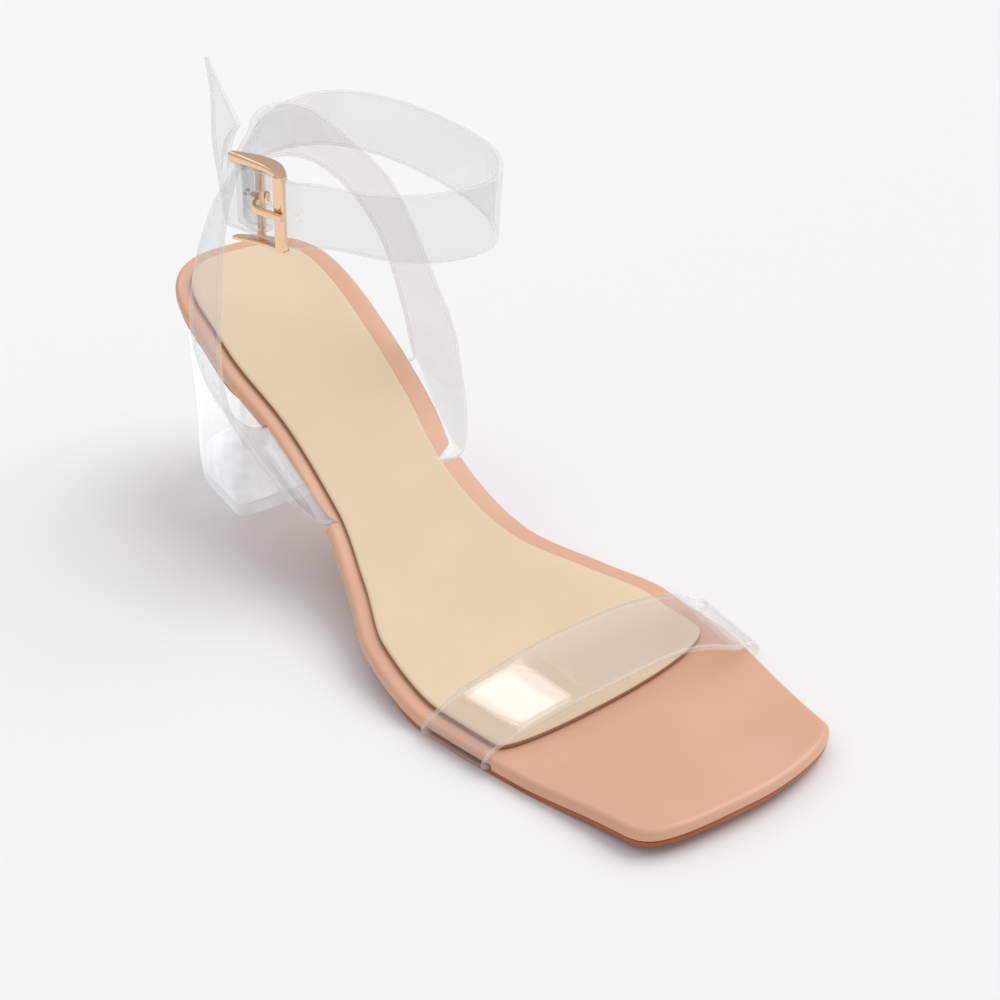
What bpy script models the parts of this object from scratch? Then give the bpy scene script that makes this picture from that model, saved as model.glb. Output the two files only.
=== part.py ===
"""Strappy heeled sandal, right shoe, standing empty on its sole.

Metres, +Z up. The origin is on the floor under the middle of the block heel. +X points to the
inner (medial) side of the foot and -Y points to the toe. A station is a distance measured
forward from the back of the heel seat, in plan.
"""
import math

import bmesh
import bpy
import numpy as np

# Sole board, in plan
SOLE_LENGTH = 0.249
SEAT_WIDTH = 0.0540
WAIST_WIDTH = 0.0480
BALL_WIDTH = 0.0858
TOE_WIDTH = 0.0680
HEEL_ROUND = 0.030
TOE_ROUND = 0.0125

# Heights
HEEL_RISE = 0.0614
TOE_SPRING = 0.0031
SEAT_CUP = 0.0012
OUTSOLE_THICK = 0.0013
BOARD_THICK = 0.0032
SOCK_THICK = 0.0015
FIT_GAP = 0.0003
STRIPS = 6
TREAD_TOP = OUTSOLE_THICK + FIT_GAP + BOARD_THICK

# Sock, outsole and heel
SOCK_INSET = 0.0060
SOCK_SHIFT = 0.0013
SOCK_LENGTH = SOLE_LENGTH * 0.787
SOCK_SKEW = 0.0042
SOCK_HEEL_ROUND = 0.020
SOCK_TOE_ROUND = 0.007
SOCK_LATERAL_CORNER = 0.005
SOCK_MEDIAL_CORNER = 0.010
SOCK_EDGE = 0.0007
EDGE_INSET = 0.0005
OUTSOLE_EDGE = 0.0003
WAIST_INSET = 0.0060
HEEL_FRONT_TOP = 0.0490
HEEL_FRONT_FOOT = 0.0476
HEEL_INSET_TOP = 0.0026
HEEL_INSET_FOOT = 0.0014
HEEL_CORNER = 0.0035
HEEL_CENTRE = 0.0240
HEEL_CURVE = 0.0240
HEEL_EDGE = 0.0004
HEEL_WAIST_SHARE = 0.35
TOP_PIECE_THICK = 0.0042
TOP_PIECE_INSET = 0.0004

# Straps
STRAP_THICK = 0.0015
STRAP_WIDTH = 0.0180
STRAP_EDGE = 0.00035
QUARTER_LATERAL = SOLE_LENGTH * 0.3414
QUARTER_MEDIAL = SOLE_LENGTH * 0.3173
QUARTER_SPREAD = 0.0330
TUCK_DEPTH = 0.0110
TUCK_RAISE = 0.0003
POCKET_SIDE = 0.0009
POCKET_MOUTH = 0.0030
COLLAR_WIDTH = 0.0600
COLLAR_HEIGHT = 0.1100
TOE_STRAP_WIDTH = 0.0272
TOE_WIDTH_LATERAL = 0.0227
TOE_WIDTH_MEDIAL = 0.0257
TOE_STRAP_LATERAL = SOLE_LENGTH * 0.7454
TOE_STRAP_MEDIAL = SOLE_LENGTH * 0.7466
TOE_ARCH_MEDIAL = SOLE_LENGTH * 0.7566
TOE_STRAP_RISE = 0.0073
TOE_STRAP_BULGE = 0.0013

# Buckle
BUCKLE_TURN = math.radians(12.8)
BUCKLE_PITCH = math.radians(0.5)
BUCKLE_LEAN = math.radians(3.3)
BUCKLE_LENGTH = 0.0222
PIN_SET_BACK = 0.0050
ARM_THICK_BACK = 0.0026
ARM_THICK_FRONT = 0.0010
ARM_MIDDLE_WIDTH = 0.0056
ARM_END_WIDTH = 0.0021
SIDE_BAR_WIDTH = 0.0039
SIDE_BAR_THICK = 0.0016
PIN_RADIUS = 0.00115
PRONG_WIDTH = 0.0021
PRONG_THICK = 0.0012
PRONG_SLOT = 0.0032
HOLE_RADIUS = 0.0009
HOLE_PITCH = 0.0095
HOLE_PLACES = (-1, 1, 2)

HALF_STRAP = STRAP_THICK / 2
PIN_DEPTH = HALF_STRAP + FIT_GAP + STRAP_THICK + FIT_GAP + PIN_RADIUS
FOLD_RADIUS = PIN_RADIUS + FIT_GAP + HALF_STRAP
SIDE_BAR_IN = HALF_STRAP + FIT_GAP
ARM_GAP = STRAP_WIDTH / 2 + FIT_GAP
BUCKLE_FRONT = BUCKLE_LENGTH / 2 + PIN_SET_BACK
BUCKLE_BACK = PIN_SET_BACK - BUCKLE_LENGTH / 2
PUNCH_REACH = STRAP_THICK * 1.4

# Rim of the board: along is a share of SOLE_LENGTH, the sides are shares of the width named
RIM_TABLE = [
    # along, width, lateral, medial
    (0.00, SEAT_WIDTH, 0.445, 0.528),
    (0.12, SEAT_WIDTH, 0.480, 0.522),
    (0.20, SEAT_WIDTH, 0.508, 0.496),
    (0.30, SEAT_WIDTH, 0.478, 0.449),
    (0.40, WAIST_WIDTH, 0.562, 0.437),
    (0.49, BALL_WIDTH, 0.384, 0.280),
    (0.58, BALL_WIDTH, 0.477, 0.404),
    (0.66, BALL_WIDTH, 0.502, 0.498),
    (0.73, BALL_WIDTH, 0.481, 0.516),
    (0.82, BALL_WIDTH, 0.437, 0.478),
    (0.92, TOE_WIDTH, 0.473, 0.525),
    (1.00, TOE_WIDTH, 0.427, 0.469),
]

# Upper face of the board: shares of HEEL_RISE and of TOE_SPRING above the tread
RISE_TABLE = [
    # along, heel rise, toe spring
    (0.00, 1.000, 0.0),
    (0.08, 0.898, 0.0),
    (0.16, 0.788, 0.0),
    (0.24, 0.660, 0.0),
    (0.32, 0.504, 0.0),
    (0.40, 0.329, 0.0),
    (0.48, 0.176, 0.0),
    (0.56, 0.089, 0.0),
    (0.64, 0.036, 0.0),
    (0.70, 0.000, 0.0),
    (0.84, 0.000, 0.0),
    (0.88, 0.000, 0.17),
    (0.92, 0.000, 0.45),
    (1.00, 0.000, 1.0),
]

# Outsole's inset from the rim
OUTSOLE_TABLE = [
    # along, inset
    (0.00, EDGE_INSET),
    (0.20, EDGE_INSET),
    (0.30, WAIST_INSET),
    (0.42, WAIST_INSET),
    (0.55, WAIST_INSET / 2),
    (0.66, EDGE_INSET),
    (1.00, EDGE_INSET),
]

# Ankle straps. across: share of half the collar width. along: share of SOLE_LENGTH.
# height: share of the way from the strap's root at the sole up to COLLAR_HEIGHT.
# rise and turn, in degrees, aim the strap's width; width is a share of STRAP_WIDTH.
LONG_STRAP_TABLE = [
    # across, along, height, rise, turn, width
    (-1.125, 0.305, 0.112, -8, -11, 1.40),
    (-1.290, 0.292, 0.245, 7, -15, 1.11),
    (-1.347, 0.278, 0.411, 13, -9, 1.10),
    (-1.243, 0.260, 0.607, 19, 0, 1.06),
    (-0.990, 0.234, 0.807, 27, -4, 1.03),
    (-0.617, 0.208, 0.968, 39, -8, 1.01),
    (-0.127, 0.191, 1.054, 58, -16, 1.00),
    (0.367, 0.203, 1.071, 72, -15, 1.00),
    (0.790, 0.253, 1.043, 79, 20, 1.00),
    (1.033, 0.331, 0.996, 77, 57, 1.00),
    (1.027, 0.414, 0.964, 78, 69, 1.00),
    (0.710, 0.476, 0.955, 84, 115, 1.00),
    (0.170, 0.495, 0.975, 81, 153, 1.00),
    (-0.403, 0.472, 1.004, 86, -117, 1.00),
    (-0.763, 0.425, 1.030, 86, -60, 1.00),
]
FREE_END_TABLE = [
    # across, along, height, rise, turn, width
    (-0.950, 0.278, 1.125, 62, 10, 0.97),
    (-0.900, 0.269, 1.206, 28, 18, 0.62),
    (-0.920, 0.246, 1.425, 12, 22, 0.03),
]
SHORT_STRAP_TABLE = [
    # across, along, height, rise, turn, width
    (0.985, 0.292, 0.135, -12, 4, 1.39),
    (1.005, 0.280, 0.266, 9, 12, 1.11),
    (0.947, 0.265, 0.449, 15, 6, 1.08),
    (0.853, 0.246, 0.650, 19, 4, 1.06),
    (0.660, 0.226, 0.835, 27, 9, 1.03),
    (0.360, 0.208, 0.970, 38, 11, 1.00),
    (0.063, 0.1985, 1.050, 61, 24, 1.00),
    (-0.250, 0.206, 1.070, 75, 20, 1.00),
    (-0.530, 0.236, 1.066, 80, 20, 1.00),
    (-0.743, 0.273, 1.053, 85, 15, 1.00),
]
BUCKLE_PLACE = (-0.992, 0.3276, 1.016)

# Toe strap between the two rims: share of the way across, height as a share of its rise,
# width as a share of TOE_STRAP_WIDTH, and how far its front edge drops as a share of its width
TOE_ARCH_TABLE = [
    # across, height, width, drop
    (0.07, 0.04, 0.87, 0.0),
    (0.21, 0.45, 0.94, 0.0),
    (0.40, 0.80, 1.00, 0.0),
    (0.60, 1.00, 1.00, 0.0),
    (0.78, 0.86, 1.04, 0.0),
    (0.92, 0.31, 1.03, 0.04),
]


def clear_scene():
    """Remove every object that the file starts with."""
    for item in list(bpy.data.objects):
        bpy.data.objects.remove(item, do_unlink=True)


def material(name, colour, roughness, metallic=0.0, transmission=0.0):
    """A Principled material in one colour."""
    made = bpy.data.materials.new(name)
    made.use_nodes = True
    shader = made.node_tree.nodes["Principled BSDF"]
    shader.inputs["Base Color"].default_value = (*colour, 1.0)
    shader.inputs["Roughness"].default_value = roughness
    shader.inputs["Metallic"].default_value = metallic
    shader.inputs["Transmission Weight"].default_value = transmission
    return made


def smooth_curve(places, values, at):
    """Monotone cubic through (places, values), which never overshoots a row."""
    places = np.asarray(places, float)
    values = np.asarray(values, float)
    steps = np.diff(places)
    slopes = np.diff(values) / steps
    tangents = np.zeros(len(places))
    tangents[0] = slopes[0]
    tangents[-1] = slopes[-1]
    for i in range(1, len(places) - 1):
        if slopes[i - 1] * slopes[i] > 0:
            before = 2 * steps[i] + steps[i - 1]
            after = steps[i] + 2 * steps[i - 1]
            tangents[i] = (before + after) / (before / slopes[i - 1] + after / slopes[i])
    at = np.clip(np.asarray(at, float), places[0], places[-1])
    i = np.clip(np.searchsorted(places, at) - 1, 0, len(steps) - 1)
    t = (at - places[i]) / steps[i]
    start = (1 + 2 * t) * (1 - t) ** 2 * values[i]
    end = t * t * (3 - 2 * t) * values[i + 1]
    bend = t * (1 - t) * steps[i] * ((1 - t) * tangents[i] - t * tangents[i + 1])
    return start + end + bend


def spline(rows, count):
    """Natural cubic spline through rows of numbers, spaced by the distance of their first three."""
    rows = np.asarray(rows, float)
    gaps = np.linalg.norm(np.diff(rows[:, :3], axis=0), axis=1)
    places = np.concatenate([[0.0], np.cumsum(gaps)])
    size = len(rows)
    grid = np.zeros((size, size))
    right = np.zeros_like(rows)
    grid[0, 0] = 1.0
    grid[-1, -1] = 1.0
    for i in range(1, size - 1):
        grid[i, i - 1] = gaps[i - 1]
        grid[i, i] = 2 * (gaps[i - 1] + gaps[i])
        grid[i, i + 1] = gaps[i]
        right[i] = 3 * ((rows[i + 1] - rows[i]) / gaps[i] - (rows[i] - rows[i - 1]) / gaps[i - 1])
    second = np.linalg.solve(grid, right)
    at = np.linspace(0.0, places[-1], count)
    i = np.clip(np.searchsorted(places, at) - 1, 0, size - 2)
    step = (at - places[i])[:, None]
    gap = gaps[i][:, None]
    slope = (rows[i + 1] - rows[i]) / gap - gap * (2 * second[i] + second[i + 1]) / 3
    cubic = (second[i + 1] - second[i]) / (3 * gap)
    return rows[i] + step * (slope + step * (second[i] + step * cubic))


def rounded_end(distance, radius, power):
    """Share of the full width that is left at a distance from a rounded end."""
    share = np.clip(np.asarray(distance, float) / radius, 0.0, 1.0)
    return (1 - (1 - share) ** power) ** (1 / power)


def rim_half_widths(station):
    """Lateral and medial half widths of the board at a station."""
    along = np.asarray(station, float) / SOLE_LENGTH
    places = [row[0] for row in RIM_TABLE]
    sides = []
    for column, heel_power, toe_power in ((2, 2.5, 4.1), (3, 2.8, 1.8)):
        base = smooth_curve(places, [row[1] * row[column] for row in RIM_TABLE], along)
        heel = rounded_end(station, HEEL_ROUND, heel_power)
        toe = rounded_end(SOLE_LENGTH - np.asarray(station), TOE_ROUND, toe_power)
        sides.append(base * heel * toe)
    return sides


def stations(start, end, start_round, end_round, middle=24):
    """Stations from start to end, closer together in the rounded ends."""
    turn = np.radians([7, 17, 28, 40, 53, 67, 80])
    first = start + start_round * (1 - np.cos(turn))
    last = (end - end_round * (1 - np.cos(turn)))[::-1]
    between = np.linspace(start + start_round, end - end_round, middle)
    return np.concatenate([first, between, last])


def closed_loop(lateral, medial, along, start, end):
    """Closed plan outline: up the lateral side, across the front, down the medial side, back.

    The two caps swell out to the stations start and end.
    """
    left = np.column_stack([-lateral, along])
    right = np.column_stack([medial, along])
    share = np.arange(1, STRIPS)[:, None] / STRIPS
    swell = (1 - (2 * share - 1) ** 2) * np.array([[0.0, 1.0]])
    front = left[-1] + (right[-1] - left[-1]) * share + swell * (end - along[-1])
    back = left[0] + (right[0] - left[0]) * share + swell * (start - along[0])
    return np.vstack([left, front, right[::-1], back[::-1]])


def loop_sides(loop):
    """Lateral and medial sides of a closed outline, both from the heel forward."""
    half = len(loop) // 2 - STRIPS + 1
    medial = loop[half + STRIPS - 1:2 * half + STRIPS - 1][::-1]
    return loop[:half], medial


def inset_loop(loop, distance):
    """Move each point of a closed outline inward along its normal."""
    forward = np.roll(loop, -1, axis=0) - np.roll(loop, 1, axis=0)
    normal = np.column_stack([forward[:, 1], -forward[:, 0]])
    normal /= np.linalg.norm(normal, axis=1)[:, None]
    return loop + normal * np.reshape(distance, (-1, 1))


RIM_STATIONS = stations(0.0, SOLE_LENGTH, HEEL_ROUND, TOE_ROUND)
RIM_LOOP = closed_loop(*rim_half_widths(RIM_STATIONS), RIM_STATIONS, 0.0, SOLE_LENGTH)


def inset_half_widths(station, distance):
    """Half widths of the board's outline moved in by a distance, at a station."""
    dense = stations(0.0, SOLE_LENGTH, HEEL_ROUND, TOE_ROUND, 120)
    loop = closed_loop(*rim_half_widths(dense), dense, 0.0, SOLE_LENGTH)
    lateral, medial = loop_sides(inset_loop(loop, distance))
    return (
        np.interp(station, lateral[:, 1], -lateral[:, 0]),
        np.interp(station, medial[:, 1], medial[:, 0]),
    )


def bed_height(across, station):
    """Height of the board's upper face: heel rise, waist, tread, toe spring and seat cup."""
    along = np.asarray(station, float) / SOLE_LENGTH
    places = [row[0] for row in RISE_TABLE]
    rise = smooth_curve(places, [row[1] for row in RISE_TABLE], along)
    spring = smooth_curve(places, [row[2] for row in RISE_TABLE], along)
    cup = SEAT_CUP * smooth_curve([0.0, 0.22, 0.45, 1.0], [1.0, 1.0, 0.0, 0.0], along)
    share = np.clip(np.abs(across) / (SEAT_WIDTH / 2), 0.0, 1.0)
    return TREAD_TOP + HEEL_RISE * rise + TOE_SPRING * spring - cup * (1 - share ** 2)


def world(across, station, height):
    """A point of the shoe in world coordinates."""
    return (across, HEEL_CENTRE - station, height)


def add_object(name, mesh_data, surface, smooth_angle=40):
    """Make an object from a bmesh, shaded smooth up to an angle."""
    bmesh.ops.recalc_face_normals(mesh_data, faces=mesh_data.faces)
    mesh = bpy.data.meshes.new(name)
    mesh_data.to_mesh(mesh)
    mesh_data.free()
    mesh.shade_smooth()
    mesh.set_sharp_from_angle(angle=math.radians(smooth_angle))
    made = bpy.data.objects.new(name, mesh)
    bpy.context.scene.collection.objects.link(made)
    made.data.materials.append(surface)
    return made


def bridge(mesh_data, lower, upper):
    """Quads between two closed rings of vertices."""
    size = len(lower)
    for i in range(size):
        j = (i + 1) % size
        mesh_data.faces.new((lower[i], lower[j], upper[j], upper[i]))


def cover(mesh_data, ring, height):
    """Close a sole-shaped ring with strips of quads that run from side to side."""
    half = len(ring) // 2 - STRIPS + 1
    lines = []
    for i in range(half):
        left = ring[i]
        right = ring[2 * half + STRIPS - 2 - i]
        line = [left]
        for step in range(1, STRIPS):
            if i == 0:
                line.append(ring[len(ring) - step])
            elif i == half - 1:
                line.append(ring[half - 1 + step])
            else:
                point = left.co.lerp(right.co, step / STRIPS)
                point.z = height(point.x, HEEL_CENTRE - point.y)
                line.append(mesh_data.verts.new(point))
        line.append(right)
        lines.append(line)
    for before, after in zip(lines, lines[1:]):
        for k in range(STRIPS):
            mesh_data.faces.new((before[k], before[k + 1], after[k + 1], after[k]))


def sole_layer(name, loop, profile, lower, upper, surface):
    """A layer of the sole. The profile goes up its edge in rows of inset, base and rise.

    base is the function that gives the height of the row; rise is added to it.
    """
    mesh_data = bmesh.new()
    rings = []
    for inset, base, rise in profile:
        outline = inset_loop(loop, inset)
        heights = base(outline[:, 0], outline[:, 1]) + rise
        rings.append([
            mesh_data.verts.new(world(x, s, z)) for (x, s), z in zip(outline, heights)
        ])
    for below, above in zip(rings, rings[1:]):
        bridge(mesh_data, below, above)
    cover(mesh_data, rings[0], lower)
    cover(mesh_data, rings[-1], upper)
    return add_object(name, mesh_data, surface)


def board_bottom(across, station):
    """Height of the board's lower face."""
    return bed_height(across, station) - BOARD_THICK


def flat(height):
    """A level height function."""
    return lambda across, station: np.zeros_like(np.asarray(station, float)) + height


def make_board(surface):
    """The wrapped sole board with its rolled edge."""
    profile = [
        (0.0010, board_bottom, 0.0),
        (0.0002, board_bottom, BOARD_THICK * 0.15),
        (0.0, board_bottom, BOARD_THICK * 0.32),
        (0.0, board_bottom, BOARD_THICK * 0.55),
        (0.0005, board_bottom, BOARD_THICK * 0.85),
        (0.0016, bed_height, 0.0),
    ]
    return sole_layer("sole_board", RIM_LOOP, profile, board_bottom, bed_height, surface)


def make_sock(surface):
    """The padded insole sock that stops under the toe strap."""
    along = stations(SOCK_INSET, SOCK_LENGTH, SOCK_HEEL_ROUND, SOCK_TOE_ROUND)
    lateral, medial = inset_half_widths(along, SOCK_INSET)
    lateral = lateral * rounded_end(SOCK_LENGTH - along, SOCK_LATERAL_CORNER, 2.4)
    medial = medial * rounded_end(SOCK_LENGTH - along, SOCK_MEDIAL_CORNER, 2.2)
    loop = closed_loop(lateral + SOCK_SHIFT, medial - SOCK_SHIFT, along, SOCK_INSET, SOCK_LENGTH)
    front = np.clip((loop[:, 1] / SOCK_LENGTH - 0.8) / 0.2, 0.0, 1.0)
    loop[:, 1] -= SOCK_SKEW * front * loop[:, 0] / (BALL_WIDTH / 2)

    def sock_bottom(across, station):
        return bed_height(across, station) + FIT_GAP

    def sock_top(across, station):
        return sock_bottom(across, station) + SOCK_THICK

    profile = [
        (0.0, sock_bottom, 0.0),
        (0.0, sock_top, -SOCK_EDGE),
        (0.0005, sock_top, -0.00015),
        (0.0014, sock_top, 0.0),
    ]
    return sole_layer("insole_sock", loop, profile, sock_bottom, sock_top, surface)


def outsole_top(across, station):
    """Height of the outsole's upper face."""
    return board_bottom(across, station) - FIT_GAP


def outsole_bottom(across, station):
    """Height of the outsole's lower face."""
    return outsole_top(across, station) - OUTSOLE_THICK


def outsole_loop():
    """Plan outline of the outsole, drawn in under the waist."""
    along = RIM_LOOP[:, 1] / SOLE_LENGTH
    places = [row[0] for row in OUTSOLE_TABLE]
    return inset_loop(RIM_LOOP, smooth_curve(places, [row[1] for row in OUTSOLE_TABLE], along))


def make_outsole(surface):
    """The thin outsole, from the heel seat to the toe."""
    profile = [
        (OUTSOLE_EDGE, outsole_bottom, 0.0),
        (0.0, outsole_bottom, OUTSOLE_EDGE),
        (0.0, outsole_top, 0.0),
    ]
    return sole_layer("outsole", outsole_loop(), profile, outsole_bottom, outsole_top, surface)


def heel_loop(inset, front):
    """D-shaped outline of the block heel: the seat's curve behind, a flat face in front."""
    along = stations(inset, front, HEEL_CURVE, HEEL_CORNER, 8)
    lateral, medial = inset_half_widths(along, inset)
    corner = rounded_end(front - along, HEEL_CORNER, 2.0)
    corner = 1 - (1 - corner) * HEEL_CORNER / (SEAT_WIDTH / 2)
    return closed_loop(lateral * corner, medial * corner, along, inset, front)


def make_block(name, levels, lower, upper, surface):
    """A heel piece between rows of inset, front, base function and rise."""
    mesh_data = bmesh.new()
    rings = []
    for inset, front, base, rise in levels:
        outline = heel_loop(inset, front)
        heights = base(outline[:, 0], outline[:, 1]) + rise
        rings.append([
            mesh_data.verts.new(world(x, s, z)) for (x, s), z in zip(outline, heights)
        ])
    for below, above in zip(rings, rings[1:]):
        bridge(mesh_data, below, above)
    cover(mesh_data, rings[0], lower)
    cover(mesh_data, rings[-1], upper)
    return add_object(name, mesh_data, surface, 30)


def heel_seat(across, station):
    """Height of the block heel's upper face, under the outsole."""
    return outsole_bottom(across, station) - FIT_GAP


def make_heel(surface):
    """The clear block heel under the seat and its clear top piece on the floor."""
    foot = flat(TOP_PIECE_THICK + FIT_GAP)
    waist_inset = (HEEL_INSET_TOP + HEEL_INSET_FOOT) / 2 + HEEL_EDGE
    waist_front = (HEEL_FRONT_TOP + HEEL_FRONT_FOOT) / 2 - HEEL_EDGE
    levels = [
        (HEEL_INSET_FOOT + HEEL_EDGE, HEEL_FRONT_FOOT - HEEL_EDGE, foot, 0.0),
        (HEEL_INSET_FOOT, HEEL_FRONT_FOOT, foot, HEEL_EDGE),
        (waist_inset, waist_front, flat((HEEL_RISE + TREAD_TOP) * HEEL_WAIST_SHARE), 0.0),
        (HEEL_INSET_TOP, HEEL_FRONT_TOP, heel_seat, -3 * HEEL_EDGE),
        (HEEL_INSET_TOP + HEEL_EDGE, HEEL_FRONT_TOP - HEEL_EDGE, heel_seat, 0.0),
    ]
    block = make_block("heel_block", levels, foot, heel_seat, surface)
    ground = flat(0.0)
    base = HEEL_INSET_FOOT + TOP_PIECE_INSET
    front = HEEL_FRONT_FOOT - TOP_PIECE_INSET
    levels = [
        (base + HEEL_EDGE, front - HEEL_EDGE, ground, 0.0),
        (base, front, ground, HEEL_EDGE),
        (base, front, ground, TOP_PIECE_THICK - HEEL_EDGE),
        (base + HEEL_EDGE, front - HEEL_EDGE, ground, TOP_PIECE_THICK),
    ]
    piece = make_block("heel_top_piece", levels, ground, flat(TOP_PIECE_THICK), surface)
    return block, piece


def aim(rise, turn):
    """Unit vector of a strap's width, from degrees above level and degrees toward medial."""
    up = math.radians(rise)
    side = math.radians(turn)
    return np.array([math.cos(up) * math.sin(side), -math.cos(up) * math.cos(side), math.sin(up)])


def strap_solid(rows, count, thick=STRAP_THICK, edge=STRAP_EDGE):
    """Closed ribbon through rows of centre point, width vector and width, as a bmesh."""
    dense = spline(rows, count)
    centre = dense[:, :3]
    across = dense[:, 3:6] / np.linalg.norm(dense[:, 3:6], axis=1)[:, None]
    width = dense[:, 6]
    along = np.gradient(centre, axis=0)
    normal = np.cross(along, across)
    normal /= np.linalg.norm(normal, axis=1)[:, None]
    mesh_data = bmesh.new()
    rings = []
    for place, side, out, wide in zip(centre, across, normal, width):
        half = wide / 2
        bevel = min(edge, half / 2)
        depth = thick / 2
        corners = [
            (-half, -depth + edge), (-half + bevel, -depth), (half - bevel, -depth),
            (half, -depth + edge), (half, depth - edge), (half - bevel, depth),
            (-half + bevel, depth), (-half, depth - edge),
        ]
        rings.append([mesh_data.verts.new(place + side * u + out * v) for u, v in corners])
    for before, after in zip(rings, rings[1:]):
        bridge(mesh_data, before, after)
    mesh_data.faces.new(rings[0])
    mesh_data.faces.new(rings[-1])
    return mesh_data


def row(point, width_vector, width):
    """One strap row: centre, width vector and width."""
    return [*point, *width_vector, width]


def root_height():
    """Middle height of a strap where it leaves the sole at the waist."""
    return float(board_bottom(0.0, QUARTER_LATERAL)) + HALF_STRAP


def table_rows(table):
    """Strap rows from a table of shares."""
    root = root_height()
    rows = []
    for across, along, height, rise, turn, width in table:
        place = world(
            across * COLLAR_WIDTH / 2,
            along * SOLE_LENGTH,
            root + height * (COLLAR_HEIGHT - root),
        )
        rows.append(row(place, aim(rise, turn), width * STRAP_WIDTH))
    return rows


def quarter_station(side):
    """Station of the middle of an ankle strap's root."""
    return QUARTER_MEDIAL if side > 0 else QUARTER_LATERAL


def rim_slope(side):
    """Width vector along the sole's edge where an ankle strap leaves it, and its length."""
    front = quarter_station(side) + QUARTER_SPREAD / 2
    back = quarter_station(side) - QUARTER_SPREAD / 2
    index = max(side, 0)
    shift = side * float(rim_half_widths(front)[index] - rim_half_widths(back)[index])
    drop = float(board_bottom(0.0, front)) - float(board_bottom(0.0, back))
    vector = np.array([shift, -QUARTER_SPREAD, drop])
    length = float(np.linalg.norm(vector))
    return vector / length, length


def root_rows(side):
    """Rows of an ankle strap under the board and at its edge; side is -1 lateral, 1 medial."""
    station = quarter_station(side)
    edge = side * float(rim_half_widths(station)[max(side, 0)])
    vector, length = rim_slope(side)
    rows = []
    for inward in (TUCK_DEPTH, TUCK_DEPTH * 0.5, -FIT_GAP):
        across = edge - side * inward
        height = float(board_bottom(across, station)) + HALF_STRAP + TUCK_RAISE
        rows.append(row(world(across, station, height), vector, length))
    return rows


BUCKLE_FORWARD = np.array([
    math.sin(BUCKLE_TURN) * math.cos(BUCKLE_PITCH),
    -math.cos(BUCKLE_TURN) * math.cos(BUCKLE_PITCH),
    -math.sin(BUCKLE_PITCH),
])
BUCKLE_LEVEL = np.array([-math.cos(BUCKLE_TURN), -math.sin(BUCKLE_TURN), 0.0])
BUCKLE_UPRIGHT = np.cross(BUCKLE_LEVEL, BUCKLE_FORWARD)
BUCKLE_OUT = BUCKLE_LEVEL * math.cos(BUCKLE_LEAN) + BUCKLE_UPRIGHT * math.sin(BUCKLE_LEAN)
BUCKLE_UP = BUCKLE_UPRIGHT * math.cos(BUCKLE_LEAN) - BUCKLE_LEVEL * math.sin(BUCKLE_LEAN)


def buckle_point(forward, out, up=0.0):
    """A point in the buckle's own frame: forward along the strap, out of the foot, up."""
    root = root_height()
    across, along, height = BUCKLE_PLACE
    middle = np.array(world(
        across * COLLAR_WIDTH / 2,
        along * SOLE_LENGTH,
        root + height * (COLLAR_HEIGHT - root),
    ))
    return middle + BUCKLE_FORWARD * forward + BUCKLE_OUT * out + BUCKLE_UP * up


def long_strap_rows():
    """Lateral root, round the back and front of the ankle, through the buckle, free end."""
    rows = root_rows(-1)
    rows += table_rows(LONG_STRAP_TABLE)
    inside = (BUCKLE_FRONT, BUCKLE_FRONT / 2, 0.0, BUCKLE_BACK / 2, BUCKLE_BACK, BUCKLE_BACK * 1.25)
    for forward in inside:
        rows.append(row(buckle_point(forward, 0.0), BUCKLE_UP, STRAP_WIDTH))
    rows += table_rows(FREE_END_TABLE)
    return rows


def short_strap_rows():
    """Medial root, round the back of the ankle, and folded round the buckle's pin."""
    rows = root_rows(1)
    rows += table_rows(SHORT_STRAP_TABLE)
    pin = -PIN_DEPTH
    for forward, out in ((-0.0090, pin - 0.0005), (-0.0050, pin + 0.0010)):
        rows.append(row(buckle_point(forward, out), BUCKLE_UP, STRAP_WIDTH))
    for turn in (115, 90, 60, 30, 0, -30, -60, -90):
        angle = math.radians(turn)
        place = buckle_point(FOLD_RADIUS * math.cos(angle), pin + FOLD_RADIUS * math.sin(angle))
        rows.append(row(place, BUCKLE_UP, STRAP_WIDTH))
    layer = STRAP_THICK + FIT_GAP
    for forward, out in ((-0.0050, pin + 0.0010 - layer), (-0.0085, pin - 0.0004 - layer)):
        rows.append(row(buckle_point(forward, out), BUCKLE_UP, STRAP_WIDTH))
    return rows


def cutter_look(item):
    """Mark an object as a shape that only cuts or joins another."""
    item.hide_render = True
    item.display_type = "WIRE"


def boolean(target, tool, operation):
    """Add an exact Boolean modifier."""
    change = target.modifiers.new(operation.lower() + "_" + tool.name, "BOOLEAN")
    change.operation = operation
    change.solver = "EXACT"
    change.object = tool
    return change


def buckle_box(low, high):
    """Box between two corners in the buckle's frame, as a bmesh."""
    mesh_data = bmesh.new()
    corners = []
    back, inner, below = low
    front, outer, above = high
    for up in (below, above):
        for forward, out in ((back, inner), (front, inner), (front, outer), (back, outer)):
            corners.append(mesh_data.verts.new(buckle_point(forward, out, up)))
    bridge(mesh_data, corners[:4], corners[4:])
    mesh_data.faces.new(corners[:4])
    mesh_data.faces.new(corners[4:])
    return mesh_data


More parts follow.
